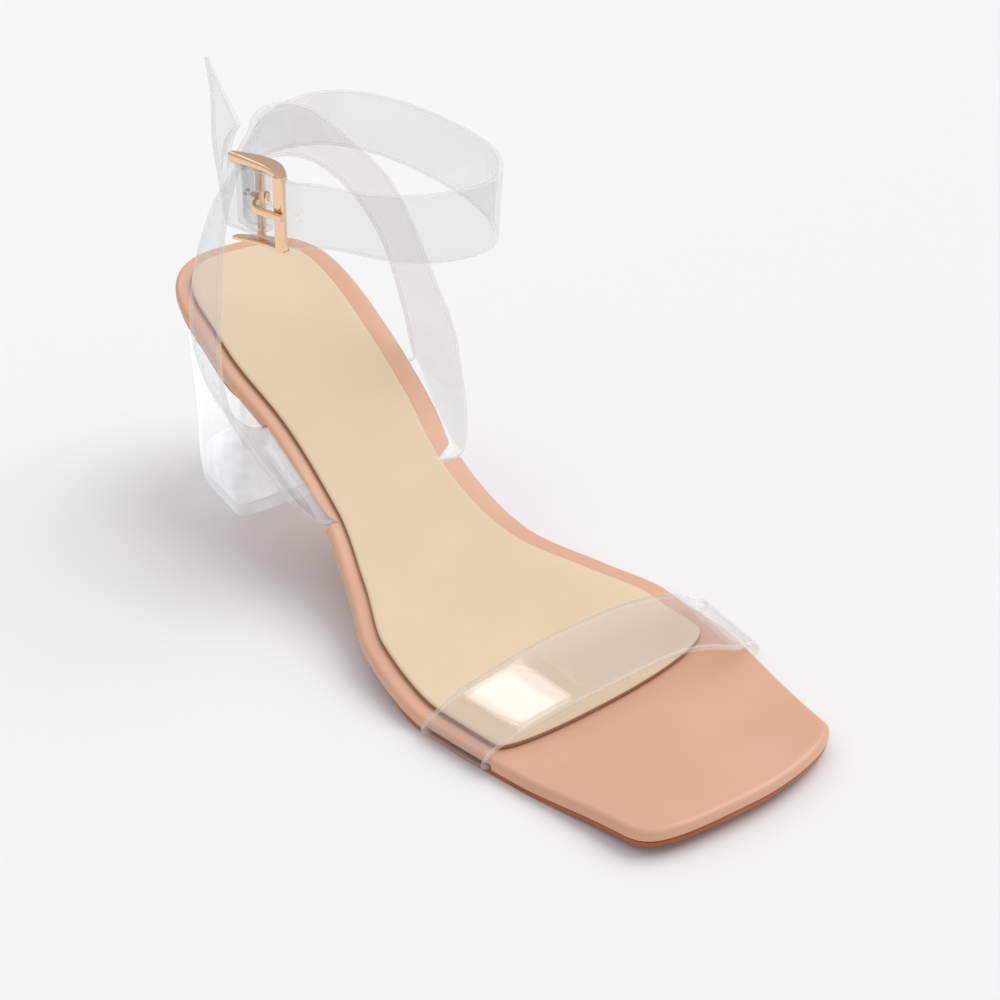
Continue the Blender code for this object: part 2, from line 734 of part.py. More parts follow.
def buckle_rod(start, end, radius, sides=12):
    """Round rod between two points of the buckle's frame, as a bmesh."""
    first = buckle_point(*start)
    last = buckle_point(*end)
    along = (last - first) / np.linalg.norm(last - first)
    side = np.cross(along, BUCKLE_UP)
    if np.linalg.norm(side) < 0.5:
        side = np.cross(along, BUCKLE_OUT)
    side /= np.linalg.norm(side)
    up = np.cross(side, along)
    mesh_data = bmesh.new()
    rings = []
    for place in (first, last):
        ring = []
        for step in range(sides):
            angle = 2 * math.pi * (step + 0.5) / sides
            offset = side * math.cos(angle) + up * math.sin(angle)
            ring.append(mesh_data.verts.new(place + offset * radius))
        rings.append(ring)
    bridge(mesh_data, rings[0], rings[1])
    mesh_data.faces.new(rings[0])
    mesh_data.faces.new(rings[1])
    return mesh_data


def make_ankle_strap(surface):
    """Both ankle straps in one solid, joined where they cross behind the ankle."""
    strap = add_object("ankle_strap", strap_solid(long_strap_rows(), 128), surface)
    short = add_object("short_strap", strap_solid(short_strap_rows(), 102), surface)
    for number, place in enumerate(HOLE_PLACES):
        forward = place * HOLE_PITCH
        rod = buckle_rod((forward, -PUNCH_REACH), (forward, PUNCH_REACH), HOLE_RADIUS)
        hole = add_object(f"punch_{number}", rod, surface)
        cutter_look(hole)
        boolean(strap, hole, "DIFFERENCE")
    slot = PRONG_SLOT / 2
    window = add_object(
        "prong_window",
        buckle_box((-slot, -PUNCH_REACH, -slot), (slot * 3, PUNCH_REACH, slot)),
        surface,
    )
    cutter_look(window)
    boolean(strap, window, "DIFFERENCE")
    deep = PIN_DEPTH + FOLD_RADIUS + STRAP_THICK
    notch = add_object(
        "fold_notch",
        buckle_box((-slot * 2.2, -deep, -slot), (FOLD_RADIUS * 2, -HALF_STRAP, slot)),
        surface,
    )
    cutter_look(notch)
    boolean(short, notch, "DIFFERENCE")
    cutter_look(short)
    boolean(strap, short, "UNION")
    return strap


def toe_strap_rows():
    """Toe strap from its tuck under the lateral edge, over the foot, to the medial tuck."""
    rows = []
    middle = (TOE_STRAP_LATERAL + TOE_STRAP_MEDIAL) / 2
    base = bed_height(0.0, middle)
    under = board_bottom(0.0, middle) + HALF_STRAP
    ends = []
    roots = ((-1, TOE_STRAP_LATERAL, TOE_WIDTH_LATERAL), (1, TOE_STRAP_MEDIAL, TOE_WIDTH_MEDIAL))
    for side, station, width in roots:
        index = max(side, 0)
        back = side * float(rim_half_widths(station - width / 2)[index])
        front = side * float(rim_half_widths(station + width / 2)[index])
        here = side * float(rim_half_widths(station)[index])
        vector = np.array([front - back - index * TOE_STRAP_BULGE, -width, 0.0])
        ends.append((here, station, vector / np.linalg.norm(vector)))
    clear = FIT_GAP + HALF_STRAP
    tuck = [(-TUCK_DEPTH, under), (-TUCK_DEPTH * 0.5, under), (-0.0008, under)]
    lateral_wrap = tuck + [
        # out from the rim, height
        (clear * 0.8, under + 0.0006),
        (clear + 0.0001, (under + base) / 2),
        (clear * 0.75, base - 0.0003),
        (-0.0008, base + clear),
        (-0.0030, base + clear + SOCK_THICK * 0.6),
    ]
    bulge = TOE_STRAP_BULGE / 2
    medial_wrap = tuck + [
        (clear * 0.8 + bulge * 0.5, under + 0.0007),
        (clear + bulge, (under + base) / 2 + bulge * 0.3),
        (clear * 0.75 + bulge * 0.7, base + bulge * 0.4),
        (-0.0012, base + clear + bulge * 0.7),
    ]
    here, station, vector = ends[0]
    for out, height in lateral_wrap:
        rows.append(row(world(here - out, station, height), vector, TOE_WIDTH_LATERAL))
    start, finish = ends
    floor = base + FIT_GAP + SOCK_THICK + clear
    for share, height, width, drop in TOE_ARCH_TABLE:
        place = world(
            start[0] + (finish[0] - start[0]) * share,
            start[1] + (TOE_ARCH_MEDIAL - start[1]) * share,
            floor + TOE_STRAP_RISE * height,
        )
        blend = start[2] * (1 - share) + finish[2] * share - np.array([0.0, 0.0, drop])
        rows.append(row(place, blend / np.linalg.norm(blend), TOE_STRAP_WIDTH * width))
    here, station, vector = ends[1]
    for out, height in medial_wrap[::-1]:
        rows.append(row(world(here + out, station, height), vector, TOE_WIDTH_MEDIAL))
    return rows


def make_toe_strap(surface):
    """The wide toe strap."""
    return add_object("toe_strap", strap_solid(toe_strap_rows(), 88), surface)


def tuck_ends():
    """Inner and outer row of each tucked strap end, and how far it sits above the board's face."""
    toe = toe_strap_rows()
    return [
        (root_rows(-1)[0], root_rows(-1)[-1], TUCK_RAISE),
        (root_rows(1)[0], root_rows(1)[-1], TUCK_RAISE),
        (toe[0], toe[2], 0.0),
        (toe[-1], toe[-3], 0.0),
    ]


def pocket_rows(inner, outer):
    """Rows of the pocket round a tucked strap end, open below and at the board's edge."""
    first = np.array(inner[:3])
    last = np.array(outer[:3])
    reach = (last - first) / np.linalg.norm(last - first)
    first = first - reach * FIT_GAP
    last = last + reach * POCKET_MOUTH
    sunk = np.array([0.0, 0.0, -POCKET_MOUTH / 2])
    width = inner[6] + 2 * POCKET_SIDE
    return [row(point + sunk, inner[3:6], width) for point in (first, (first + last) / 2, last)]


def cut_tucks(board, surface):
    """Pockets in the board's lower face that take the ends of the straps."""
    for number, (inner, outer, raised) in enumerate(tuck_ends()):
        lift = POCKET_MOUTH + STRAP_THICK + 2 * FIT_GAP + raised
        pocket = strap_solid(pocket_rows(inner, outer), 3, lift)
        tool = add_object(f"pocket_{number}", pocket, surface)
        cutter_look(tool)
        boolean(board, tool, "DIFFERENCE")


def arm_place(share):
    """Middle, width and thickness of a buckle arm; share runs from -1 at the back to 1."""
    swell = math.cos(share * math.pi / 2)
    wide = ARM_END_WIDTH + (ARM_MIDDLE_WIDTH - ARM_END_WIDTH) * swell
    thick = (ARM_THICK_FRONT * (1 + share) + ARM_THICK_BACK * (1 - share)) / 2
    end_out = SIDE_BAR_IN + SIDE_BAR_THICK / 2 if share > 0 else 0.0
    middle_out = ARM_MIDDLE_WIDTH / 2 - PIN_DEPTH - PIN_RADIUS * 0.8
    return end_out * (1 - swell) + middle_out * swell, wide, thick


def pin_rod(sides=12):
    """The pin, from inside the lower arm to inside the upper one, as a bmesh."""
    thick = arm_place(-PIN_SET_BACK / (BUCKLE_LENGTH / 2))[2]
    low = ARM_GAP + thick - ARM_THICK_FRONT / 2
    high = ARM_GAP + ARM_THICK_FRONT / 2
    return buckle_rod((0.0, -PIN_DEPTH, -low), (0.0, -PIN_DEPTH, high), PIN_RADIUS, sides)


def make_arm(side, surface, name):
    """Upper (side 1) or lower (side -1) arm of the buckle, broad in the middle."""
    mesh_data = bmesh.new()
    rings = []
    for step in range(15):
        share = -1 + 2 * step / 14
        centre, wide, thick = arm_place(share)
        low = centre - wide / 2
        high = centre + wide / 2
        outer = ARM_GAP + thick
        inner = ARM_GAP if side > 0 else outer - ARM_THICK_FRONT
        cut = (outer - inner) * 0.25
        ring = [
            (low + cut, inner), (high - cut, inner), (high, inner + cut), (high, outer - cut),
            (high - cut, outer), (low + cut, outer), (low, outer - cut), (low, inner + cut),
        ]
        forward = PIN_SET_BACK + share * BUCKLE_LENGTH / 2
        rings.append([mesh_data.verts.new(buckle_point(forward, out, side * up)) for out, up in ring])
    for before, after in zip(rings, rings[1:]):
        bridge(mesh_data, before, after)
    mesh_data.faces.new(rings[0])
    mesh_data.faces.new(rings[-1])
    return add_object(name, mesh_data, surface)


def make_buckle(surface):
    """Frame of the buckle: two broad arms, a pin between them and a bar at the front."""
    frame = make_arm(1, surface, "buckle_frame")
    lower = make_arm(-1, surface, "buckle_lower_arm")
    pin = add_object("buckle_pin", pin_rod(), surface)
    reach = ARM_GAP + ARM_THICK_FRONT * 0.8
    low = (BUCKLE_FRONT - SIDE_BAR_WIDTH, SIDE_BAR_IN, -reach)
    high = (BUCKLE_FRONT - 0.0002, SIDE_BAR_IN + SIDE_BAR_THICK, reach)
    bar = add_object("buckle_side_bar", buckle_box(low, high), surface)
    soften = bar.modifiers.new("bar_bevel", "BEVEL")
    soften.width = 0.0004
    soften.segments = 2
    for piece in (lower, pin, bar):
        cutter_look(piece)
        boolean(frame, piece, "UNION")
    return frame


def prong_rows():
    """Rows of the prong: a ring round the pin and a tongue that rests on the front bar."""
    ring_radius = PIN_RADIUS + FIT_GAP + PRONG_THICK / 2
    pin = -PIN_DEPTH
    tip = SIDE_BAR_IN + SIDE_BAR_THICK + FIT_GAP + PRONG_THICK / 2
    route = []
    for turn in range(-30, -271, -20):
        angle = math.radians(turn)
        route.append((ring_radius * math.cos(angle), pin + ring_radius * math.sin(angle)))
    route += [
        # forward, out
        (0.0013, -0.0016),
        (0.0024, -0.0004),
        (0.0035, 0.0012),
        (0.0053, tip * 0.78),
        (BUCKLE_FRONT * 0.72, tip),
        (BUCKLE_FRONT + 0.0005, tip),
    ]
    return [row(buckle_point(forward, out), BUCKLE_UP, PRONG_WIDTH) for forward, out in route]


def make_prong(surface):
    """The prong, a bent flat strip."""
    strip = strap_solid(prong_rows(), 46, PRONG_THICK, PRONG_THICK * 0.25)
    return add_object("buckle_prong", strip, surface)


def main():
    """Build every piece of the sandal."""
    clear_scene()
    wrap = material("nude_wrap", (0.79, 0.44, 0.30), 0.42)
    lining = material("beige_sock", (0.83, 0.64, 0.46), 0.75)
    sole = material("brown_outsole", (0.42, 0.13, 0.05), 0.5)
    clear = material("clear_strap", (0.96, 0.97, 0.98), 0.05, 0.0, 1.0)
    block = material("clear_heel", (0.97, 0.98, 0.99), 0.03, 0.0, 1.0)
    gold = material("rose_gold", (0.93, 0.66, 0.44), 0.16, 1.0)
    board = make_board(wrap)
    make_sock(lining)
    make_outsole(sole)
    make_heel(block)
    cut_tucks(board, wrap)
    make_toe_strap(clear)
    make_ankle_strap(clear)
    make_buckle(gold)
    make_prong(gold)


main()
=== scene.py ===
"""Looks of the strappy heeled sandal: finer meshes, finishes, floor, light and camera.

The frame's axes: +X to the inner side of the foot, -Y to the toe, +Z up, in metres, with the
origin on the floor under the heel. A station is a distance measured forward from the back of
the heel seat, in plan.
"""

import math

import bmesh
import bpy
import numpy as np
from mathutils import Matrix, Vector

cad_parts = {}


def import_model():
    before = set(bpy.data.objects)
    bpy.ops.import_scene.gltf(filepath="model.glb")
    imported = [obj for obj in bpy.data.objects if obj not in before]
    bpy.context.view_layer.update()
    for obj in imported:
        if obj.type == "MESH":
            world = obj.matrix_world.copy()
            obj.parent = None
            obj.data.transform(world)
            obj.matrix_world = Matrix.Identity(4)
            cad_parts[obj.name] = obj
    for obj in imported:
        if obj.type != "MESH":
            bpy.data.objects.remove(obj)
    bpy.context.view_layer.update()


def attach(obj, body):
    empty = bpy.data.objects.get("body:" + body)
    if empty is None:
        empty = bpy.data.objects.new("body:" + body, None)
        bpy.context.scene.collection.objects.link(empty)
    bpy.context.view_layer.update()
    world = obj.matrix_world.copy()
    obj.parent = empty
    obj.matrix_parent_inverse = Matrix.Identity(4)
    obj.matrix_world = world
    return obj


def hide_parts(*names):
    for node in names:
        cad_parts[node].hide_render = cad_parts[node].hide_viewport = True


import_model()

# Sole board, in plan
SOLE_LENGTH = 0.249
SEAT_WIDTH = 0.0540
WAIST_WIDTH = 0.0480
BALL_WIDTH = 0.0858
TOE_WIDTH = 0.0680
HEEL_ROUND = 0.030
TOE_ROUND = 0.0125

# Heights
HEEL_RISE = 0.0614
TOE_SPRING = 0.0031
SEAT_CUP = 0.0012
OUTSOLE_THICK = 0.0013
BOARD_THICK = 0.0032
SOCK_THICK = 0.0015
FIT_GAP = 0.0003
TREAD_TOP = OUTSOLE_THICK + FIT_GAP + BOARD_THICK

# Sock, outsole and heel
SOCK_INSET = 0.0060
SOCK_SHIFT = 0.0013
SOCK_LENGTH = SOLE_LENGTH * 0.787
SOCK_SKEW = 0.0042
EDGE_INSET = 0.0005
OUTSOLE_EDGE = 0.0003
WAIST_INSET = 0.0060
HEEL_FRONT_TOP = 0.0490
HEEL_FRONT_FOOT = 0.0476
HEEL_INSET_TOP = 0.0026
HEEL_INSET_FOOT = 0.0014
HEEL_CORNER = 0.0035
HEEL_CENTRE = 0.0240
HEEL_CURVE = 0.0240
HEEL_EDGE = 0.0004
TOP_PIECE_THICK = 0.0042
TOP_PIECE_INSET = 0.0004

# Straps
STRAP_THICK = 0.0015
STRAP_WIDTH = 0.0180
QUARTER_LATERAL = SOLE_LENGTH * 0.3414
QUARTER_MEDIAL = SOLE_LENGTH * 0.3173
QUARTER_SPREAD = 0.0330
TUCK_DEPTH = 0.0110
TUCK_RAISE = 0.0003
POCKET_SIDE = 0.0009
POCKET_MOUTH = 0.0030
COLLAR_WIDTH = 0.0600
COLLAR_HEIGHT = 0.1100
TOE_STRAP_WIDTH = 0.0272
TOE_WIDTH_LATERAL = 0.0227
TOE_WIDTH_MEDIAL = 0.0257
TOE_STRAP_LATERAL = SOLE_LENGTH * 0.7454
TOE_STRAP_MEDIAL = SOLE_LENGTH * 0.7466
TOE_ARCH_MEDIAL = SOLE_LENGTH * 0.7566
TOE_STRAP_RISE = 0.0073
TOE_STRAP_BULGE = 0.0013

# Buckle
BUCKLE_TURN = math.radians(12.8)
BUCKLE_PITCH = math.radians(0.5)
BUCKLE_LEAN = math.radians(3.3)
BUCKLE_LENGTH = 0.0222
PIN_SET_BACK = 0.0050
ARM_THICK_BACK = 0.0026
ARM_THICK_FRONT = 0.0010
ARM_MIDDLE_WIDTH = 0.0056
ARM_END_WIDTH = 0.0021
SIDE_BAR_WIDTH = 0.0039
SIDE_BAR_THICK = 0.0016
PIN_RADIUS = 0.00115
PRONG_WIDTH = 0.0021
PRONG_THICK = 0.0012
PRONG_SLOT = 0.0032
HOLE_RADIUS = 0.0009
HOLE_PITCH = 0.0095

HALF_STRAP = STRAP_THICK / 2
PIN_DEPTH = HALF_STRAP + FIT_GAP + STRAP_THICK + FIT_GAP + PIN_RADIUS
FOLD_RADIUS = PIN_RADIUS + FIT_GAP + HALF_STRAP
SIDE_BAR_IN = HALF_STRAP + FIT_GAP
ARM_GAP = STRAP_WIDTH / 2 + FIT_GAP
BUCKLE_FRONT = BUCKLE_LENGTH / 2 + PIN_SET_BACK
BUCKLE_BACK = PIN_SET_BACK - BUCKLE_LENGTH / 2

# Rim of the board: along is a share of SOLE_LENGTH, the sides are shares of the width named
RIM_TABLE = [
    # along, width, lateral, medial
    (0.00, SEAT_WIDTH, 0.445, 0.528),
    (0.12, SEAT_WIDTH, 0.480, 0.522),
    (0.20, SEAT_WIDTH, 0.508, 0.496),
    (0.30, SEAT_WIDTH, 0.478, 0.449),
    (0.40, WAIST_WIDTH, 0.562, 0.437),
    (0.49, BALL_WIDTH, 0.384, 0.280),
    (0.58, BALL_WIDTH, 0.477, 0.404),
    (0.66, BALL_WIDTH, 0.502, 0.498),
    (0.73, BALL_WIDTH, 0.481, 0.516),
    (0.82, BALL_WIDTH, 0.437, 0.478),
    (0.92, TOE_WIDTH, 0.473, 0.525),
    (1.00, TOE_WIDTH, 0.427, 0.469),
]

# Upper face of the board: shares of HEEL_RISE and of TOE_SPRING above the tread
RISE_TABLE = [
    # along, heel rise, toe spring
    (0.00, 1.000, 0.0),
    (0.08, 0.898, 0.0),
    (0.16, 0.788, 0.0),
    (0.24, 0.660, 0.0),
    (0.32, 0.504, 0.0),
    (0.40, 0.329, 0.0),
    (0.48, 0.176, 0.0),
    (0.56, 0.089, 0.0),
    (0.64, 0.036, 0.0),
    (0.70, 0.000, 0.0),
    (0.84, 0.000, 0.0),
    (0.88, 0.000, 0.17),
    (0.92, 0.000, 0.45),
    (1.00, 0.000, 1.0),
]

# Outsole's inset from the rim
OUTSOLE_TABLE = [
    # along, inset
    (0.00, EDGE_INSET),
    (0.20, EDGE_INSET),
    (0.30, WAIST_INSET),
    (0.42, WAIST_INSET),
    (0.55, WAIST_INSET / 2),
    (0.66, EDGE_INSET),
    (1.00, EDGE_INSET),
]

# Ankle straps. across: share of half the collar width. along: share of SOLE_LENGTH.
# height: share of the way from the strap's root at the sole up to COLLAR_HEIGHT.
# rise and turn, in degrees, aim the strap's width; width is a share of STRAP_WIDTH.
LONG_STRAP_TABLE = [
    # across, along, height, rise, turn, width
    (-1.125, 0.305, 0.112, -8, -11, 1.40),
    (-1.290, 0.292, 0.245, 7, -15, 1.11),
    (-1.347, 0.278, 0.411, 13, -9, 1.10),
    (-1.243, 0.260, 0.607, 19, 0, 1.06),
    (-0.990, 0.234, 0.807, 27, -4, 1.03),
    (-0.617, 0.208, 0.968, 39, -8, 1.01),
    (-0.127, 0.191, 1.054, 58, -16, 1.00),
    (0.367, 0.203, 1.071, 72, -15, 1.00),
    (0.790, 0.253, 1.043, 79, 20, 1.00),
    (1.033, 0.331, 0.996, 77, 57, 1.00),
    (1.027, 0.414, 0.964, 78, 69, 1.00),
    (0.710, 0.476, 0.955, 84, 115, 1.00),
    (0.170, 0.495, 0.975, 81, 153, 1.00),
    (-0.403, 0.472, 1.004, 86, -117, 1.00),
    (-0.763, 0.425, 1.030, 86, -60, 1.00),
]
FREE_END_TABLE = [
    # across, along, height, rise, turn, width
    (-0.950, 0.278, 1.125, 62, 10, 0.97),
    (-0.900, 0.269, 1.206, 28, 18, 0.62),
    (-0.920, 0.246, 1.425, 12, 22, 0.03),
]
SHORT_STRAP_TABLE = [
    # across, along, height, rise, turn, width
    (0.985, 0.292, 0.135, -12, 4, 1.39),
    (1.005, 0.280, 0.266, 9, 12, 1.11),
    (0.947, 0.265, 0.449, 15, 6, 1.08),
    (0.853, 0.246, 0.650, 19, 4, 1.06),
    (0.660, 0.226, 0.835, 27, 9, 1.03),
    (0.360, 0.208, 0.970, 38, 11, 1.00),
    (0.063, 0.1985, 1.050, 61, 24, 1.00),
    (-0.250, 0.206, 1.070, 75, 20, 1.00),
    (-0.530, 0.236, 1.066, 80, 20, 1.00),
    (-0.743, 0.273, 1.053, 85, 15, 1.00),
]
BUCKLE_PLACE = (-0.992, 0.3276, 1.016)

# Toe strap between the two rims: share of the way across, height as a share of its rise,
# width as a share of TOE_STRAP_WIDTH, and how far its front edge drops as a share of its width
TOE_ARCH_TABLE = [
    # across, height, width, drop
    (0.07, 0.04, 0.87, 0.0),
    (0.21, 0.45, 0.94, 0.0),
    (0.40, 0.80, 1.00, 0.0),
    (0.60, 1.00, 1.00, 0.0),
    (0.78, 0.86, 1.04, 0.0),
    (0.92, 0.31, 1.03, 0.04),
]

# Fineness of the meshes, and angles over which an edge is drawn sharp, in degrees
STRIPS = 28
FACE_POINTS = 11
EDGE_POINTS = 4
ROD_SIDES = 28
ARM_STEPS = 48
LONG_STRAP_COUNT = 560
SHORT_STRAP_COUNT = 420
TOE_STRAP_COUNT = 420
PRONG_COUNT = 200
SOFT_ANGLE = 35
HARD_ANGLE = 50

# Edges that only the looks need
STRAP_SHOULDER = 0.00045
EDGE_ROUND = 0.0019
UNDER_ROUND = 0.0007
SOCK_CROWN = 0.0010
SOCK_SWELL = 0.0001
SOCK_FOOT = 0.0003
SOCK_HEEL_ROUND = 0.020
SOCK_TOE_ROUND = 0.007
SOCK_LATERAL_CORNER = (0.005, 2.4)
SOCK_MEDIAL_CORNER = (0.010, 2.2)
HEEL_WAIST_SHARE = 0.35
HOLE_PLACES = (-1, 1, 2)
PUNCH_REACH = STRAP_THICK * 1.4
BAR_SET_BACK = 0.0002
BAR_BEVEL = 0.0005

# Studio: direction vectors point from the shoe to the light
FLOOR_SIZE = 12.0
FLOOR_COLOUR = (0.90, 0.90, 0.90)
WORLD_STRENGTH = 0.965
SKY_STOPS = [
    # share of the way up, colour
    (0.00, (0.50, 0.50, 0.51, 1.0)),
    (1.00, (0.86, 0.86, 0.86, 1.0)),
    (0.45, (0.55, 0.55, 0.56, 1.0)),
]
SUN_STRENGTH = 1.31
SUN_WAY = (0.66, -0.12, 0.9)
SUN_SPREAD = 50
LIGHT_TARGET = (0.0, -0.09, 0.05)
SOFTBOXES = [
    # name, direction, distance, size, brightness of its face
    ("window_box", (0.175, 0.667, 0.72), 1.30, (0.26, 0.26), 2.2),
    ("window_core", (0.185, 0.655, 0.735), 1.25, (0.15, 0.11), 1.2),
]

# Camera: angles in degrees, lens in picture widths of PHOTO_PIXELS
CAMERA_AZIMUTH = -33.73
CAMERA_ELEVATION = 29.2
CAMERA_ROLL = -2.36
CAMERA_DISTANCE = 0.5577
CAMERA_TARGET = (0.0, -0.1335, 0.0457)
CAMERA_SHIFT = -0.0212
LENS_PIXELS = 2200.0
PHOTO_PIXELS = 1000.0
CAMERA_SENSOR = 36.0


def smooth_curve(places, values, at):
    """Monotone cubic through (places, values), which never overshoots a row."""
    places = np.asarray(places, float)
    values = np.asarray(values, float)
    steps = np.diff(places)
    slopes = np.diff(values) / steps
    tangents = np.zeros(len(places))
    tangents[0] = slopes[0]
    tangents[-1] = slopes[-1]
    for i in range(1, len(places) - 1):
        if slopes[i - 1] * slopes[i] > 0:
            before = 2 * steps[i] + steps[i - 1]
            after = steps[i] + 2 * steps[i - 1]
            tangents[i] = (before + after) / (before / slopes[i - 1] + after / slopes[i])
    at = np.clip(np.asarray(at, float), places[0], places[-1])
    i = np.clip(np.searchsorted(places, at) - 1, 0, len(steps) - 1)
    t = (at - places[i]) / steps[i]
    start = (1 + 2 * t) * (1 - t) ** 2 * values[i]
    end = t * t * (3 - 2 * t) * values[i + 1]
    bend = t * (1 - t) * steps[i] * ((1 - t) * tangents[i] - t * tangents[i + 1])
    return start + end + bend


def spline(rows, count):
    """Natural cubic spline through rows of numbers, spaced by the distance of their first three."""
    rows = np.asarray(rows, float)
    gaps = np.linalg.norm(np.diff(rows[:, :3], axis=0), axis=1)
    places = np.concatenate([[0.0], np.cumsum(gaps)])
    size = len(rows)
    grid = np.zeros((size, size))
    right = np.zeros_like(rows)
    grid[0, 0] = 1.0
    grid[-1, -1] = 1.0
    for i in range(1, size - 1):
        grid[i, i - 1] = gaps[i - 1]
        grid[i, i] = 2 * (gaps[i - 1] + gaps[i])
        grid[i, i + 1] = gaps[i]
        right[i] = 3 * ((rows[i + 1] - rows[i]) / gaps[i] - (rows[i] - rows[i - 1]) / gaps[i - 1])
    second = np.linalg.solve(grid, right)
    at = np.linspace(0.0, places[-1], count)
    i = np.clip(np.searchsorted(places, at) - 1, 0, size - 2)
    step = (at - places[i])[:, None]
    gap = gaps[i][:, None]
    slope = (rows[i + 1] - rows[i]) / gap - gap * (2 * second[i] + second[i + 1]) / 3
    cubic = (second[i + 1] - second[i]) / (3 * gap)
    return rows[i] + step * (slope + step * (second[i] + step * cubic))


def rounded_end(distance, radius, power):
    """Share of the full width that is left at a distance from a rounded end."""
    share = np.clip(np.asarray(distance, float) / radius, 0.0, 1.0)
    return (1 - (1 - share) ** power) ** (1 / power)


def rim_half_widths(station):
    """Lateral and medial half widths of the board at a station."""
    along = np.asarray(station, float) / SOLE_LENGTH
    places = [row[0] for row in RIM_TABLE]
    sides = []
    for column, heel_power, toe_power in ((2, 2.5, 4.1), (3, 2.8, 1.8)):
        base = smooth_curve(places, [row[1] * row[column] for row in RIM_TABLE], along)
        heel = rounded_end(station, HEEL_ROUND, heel_power)
        toe = rounded_end(SOLE_LENGTH - np.asarray(station), TOE_ROUND, toe_power)
        sides.append(base * heel * toe)
    return sides


def stations(start, end, start_round, end_round, middle=110):
    """Stations from start to end, closer together in the rounded ends."""
    turn = np.radians(np.linspace(5, 84, 18))
    first = start + start_round * (1 - np.cos(turn))
    last = (end - end_round * (1 - np.cos(turn)))[::-1]
    between = np.linspace(start + start_round, end - end_round, middle)
    return np.concatenate([first, between, last])


def closed_loop(lateral, medial, along, start, end):
    """Closed plan outline: up the lateral side, across the front, down the medial side, back.

    The two caps swell out to the stations start and end.
    """
    left = np.column_stack([-lateral, along])
    right = np.column_stack([medial, along])
    share = np.arange(1, STRIPS)[:, None] / STRIPS
    swell = (1 - (2 * share - 1) ** 2) * np.array([[0.0, 1.0]])
    front = left[-1] + (right[-1] - left[-1]) * share + swell * (end - along[-1])
    back = left[0] + (right[0] - left[0]) * share + swell * (start - along[0])
    return np.vstack([left, front, right[::-1], back[::-1]])


def loop_sides(loop):
    """Lateral and medial sides of a closed outline, both from the heel forward."""
    half = len(loop) // 2 - STRIPS + 1
    medial = loop[half + STRIPS - 1:2 * half + STRIPS - 1][::-1]
    return loop[:half], medial


def inset_loop(loop, distance):
    """Move each point of a closed outline inward along its normal."""
    forward = np.roll(loop, -1, axis=0) - np.roll(loop, 1, axis=0)
    normal = np.column_stack([forward[:, 1], -forward[:, 0]])
    normal /= np.linalg.norm(normal, axis=1)[:, None]
    return loop + normal * np.reshape(distance, (-1, 1))


RIM_STATIONS = stations(0.0, SOLE_LENGTH, HEEL_ROUND, TOE_ROUND)
RIM_LOOP = closed_loop(*rim_half_widths(RIM_STATIONS), RIM_STATIONS, 0.0, SOLE_LENGTH)


def inset_half_widths(station, distance):
    """Half widths of the board's outline moved in by a distance, at a station."""
    dense = stations(0.0, SOLE_LENGTH, HEEL_ROUND, TOE_ROUND, 120)
    loop = closed_loop(*rim_half_widths(dense), dense, 0.0, SOLE_LENGTH)
    lateral, medial = loop_sides(inset_loop(loop, distance))
    return (
        np.interp(station, lateral[:, 1], -lateral[:, 0]),
        np.interp(station, medial[:, 1], medial[:, 0]),
    )


def bed_height(across, station):
    """Height of the board's upper face: heel rise, waist, tread, toe spring and seat cup."""
    along = np.asarray(station, float) / SOLE_LENGTH
    places = [row[0] for row in RISE_TABLE]
    rise = smooth_curve(places, [row[1] for row in RISE_TABLE], along)
    spring = smooth_curve(places, [row[2] for row in RISE_TABLE], along)
    cup = SEAT_CUP * smooth_curve([0.0, 0.22, 0.45, 1.0], [1.0, 1.0, 0.0, 0.0], along)
    share = np.clip(np.abs(across) / (SEAT_WIDTH / 2), 0.0, 1.0)
    return TREAD_TOP + HEEL_RISE * rise + TOE_SPRING * spring - cup * (1 - share ** 2)


def world(across, station, height):
    """A point of the shoe in world coordinates."""
    return (across, HEEL_CENTRE - station, height)


def bridge(mesh_data, lower, upper):
    """Quads between two closed rings of vertices."""
    size = len(lower)
    for i in range(size):
        j = (i + 1) % size
        mesh_data.faces.new((lower[i], lower[j], upper[j], upper[i]))


def cover(mesh_data, ring, height):
    """Close a sole-shaped ring with strips of quads that run from side to side."""
    half = len(ring) // 2 - STRIPS + 1
    lines = []
    for i in range(half):
        left = ring[i]
        right = ring[2 * half + STRIPS - 2 - i]
        line = [left]
        for step in range(1, STRIPS):
            if i == 0:
                line.append(ring[len(ring) - step])
            elif i == half - 1:
                line.append(ring[half - 1 + step])
            else:
                point = left.co.lerp(right.co, step / STRIPS)
                point.z = height(point.x, HEEL_CENTRE - point.y)
                line.append(mesh_data.verts.new(point))
        line.append(right)
        lines.append(line)
    for before, after in zip(lines, lines[1:]):
        for k in range(STRIPS):
            mesh_data.faces.new((before[k], before[k + 1], after[k + 1], after[k]))


def build(name, mesh_data, surfaces, slot, smooth_angle=SOFT_ANGLE):
    """Make a piece from a bmesh: smooth shaded, on the root body, with its finishes.

    Without a slot it is a tool that another piece is cut or joined with.
    """
    bmesh.ops.recalc_face_normals(mesh_data, faces=mesh_data.faces)
    mesh = bpy.data.meshes.new(name)
    mesh_data.to_mesh(mesh)
    mesh_data.free()
    mesh.shade_smooth()
    mesh.set_sharp_from_angle(angle=math.radians(smooth_angle))
    piece = bpy.data.objects.new(name, mesh)
    bpy.context.scene.collection.objects.link(piece)
    for surface in surfaces:
        piece.data.materials.append(surface)
    if slot:
        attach(piece, "root")
    return piece


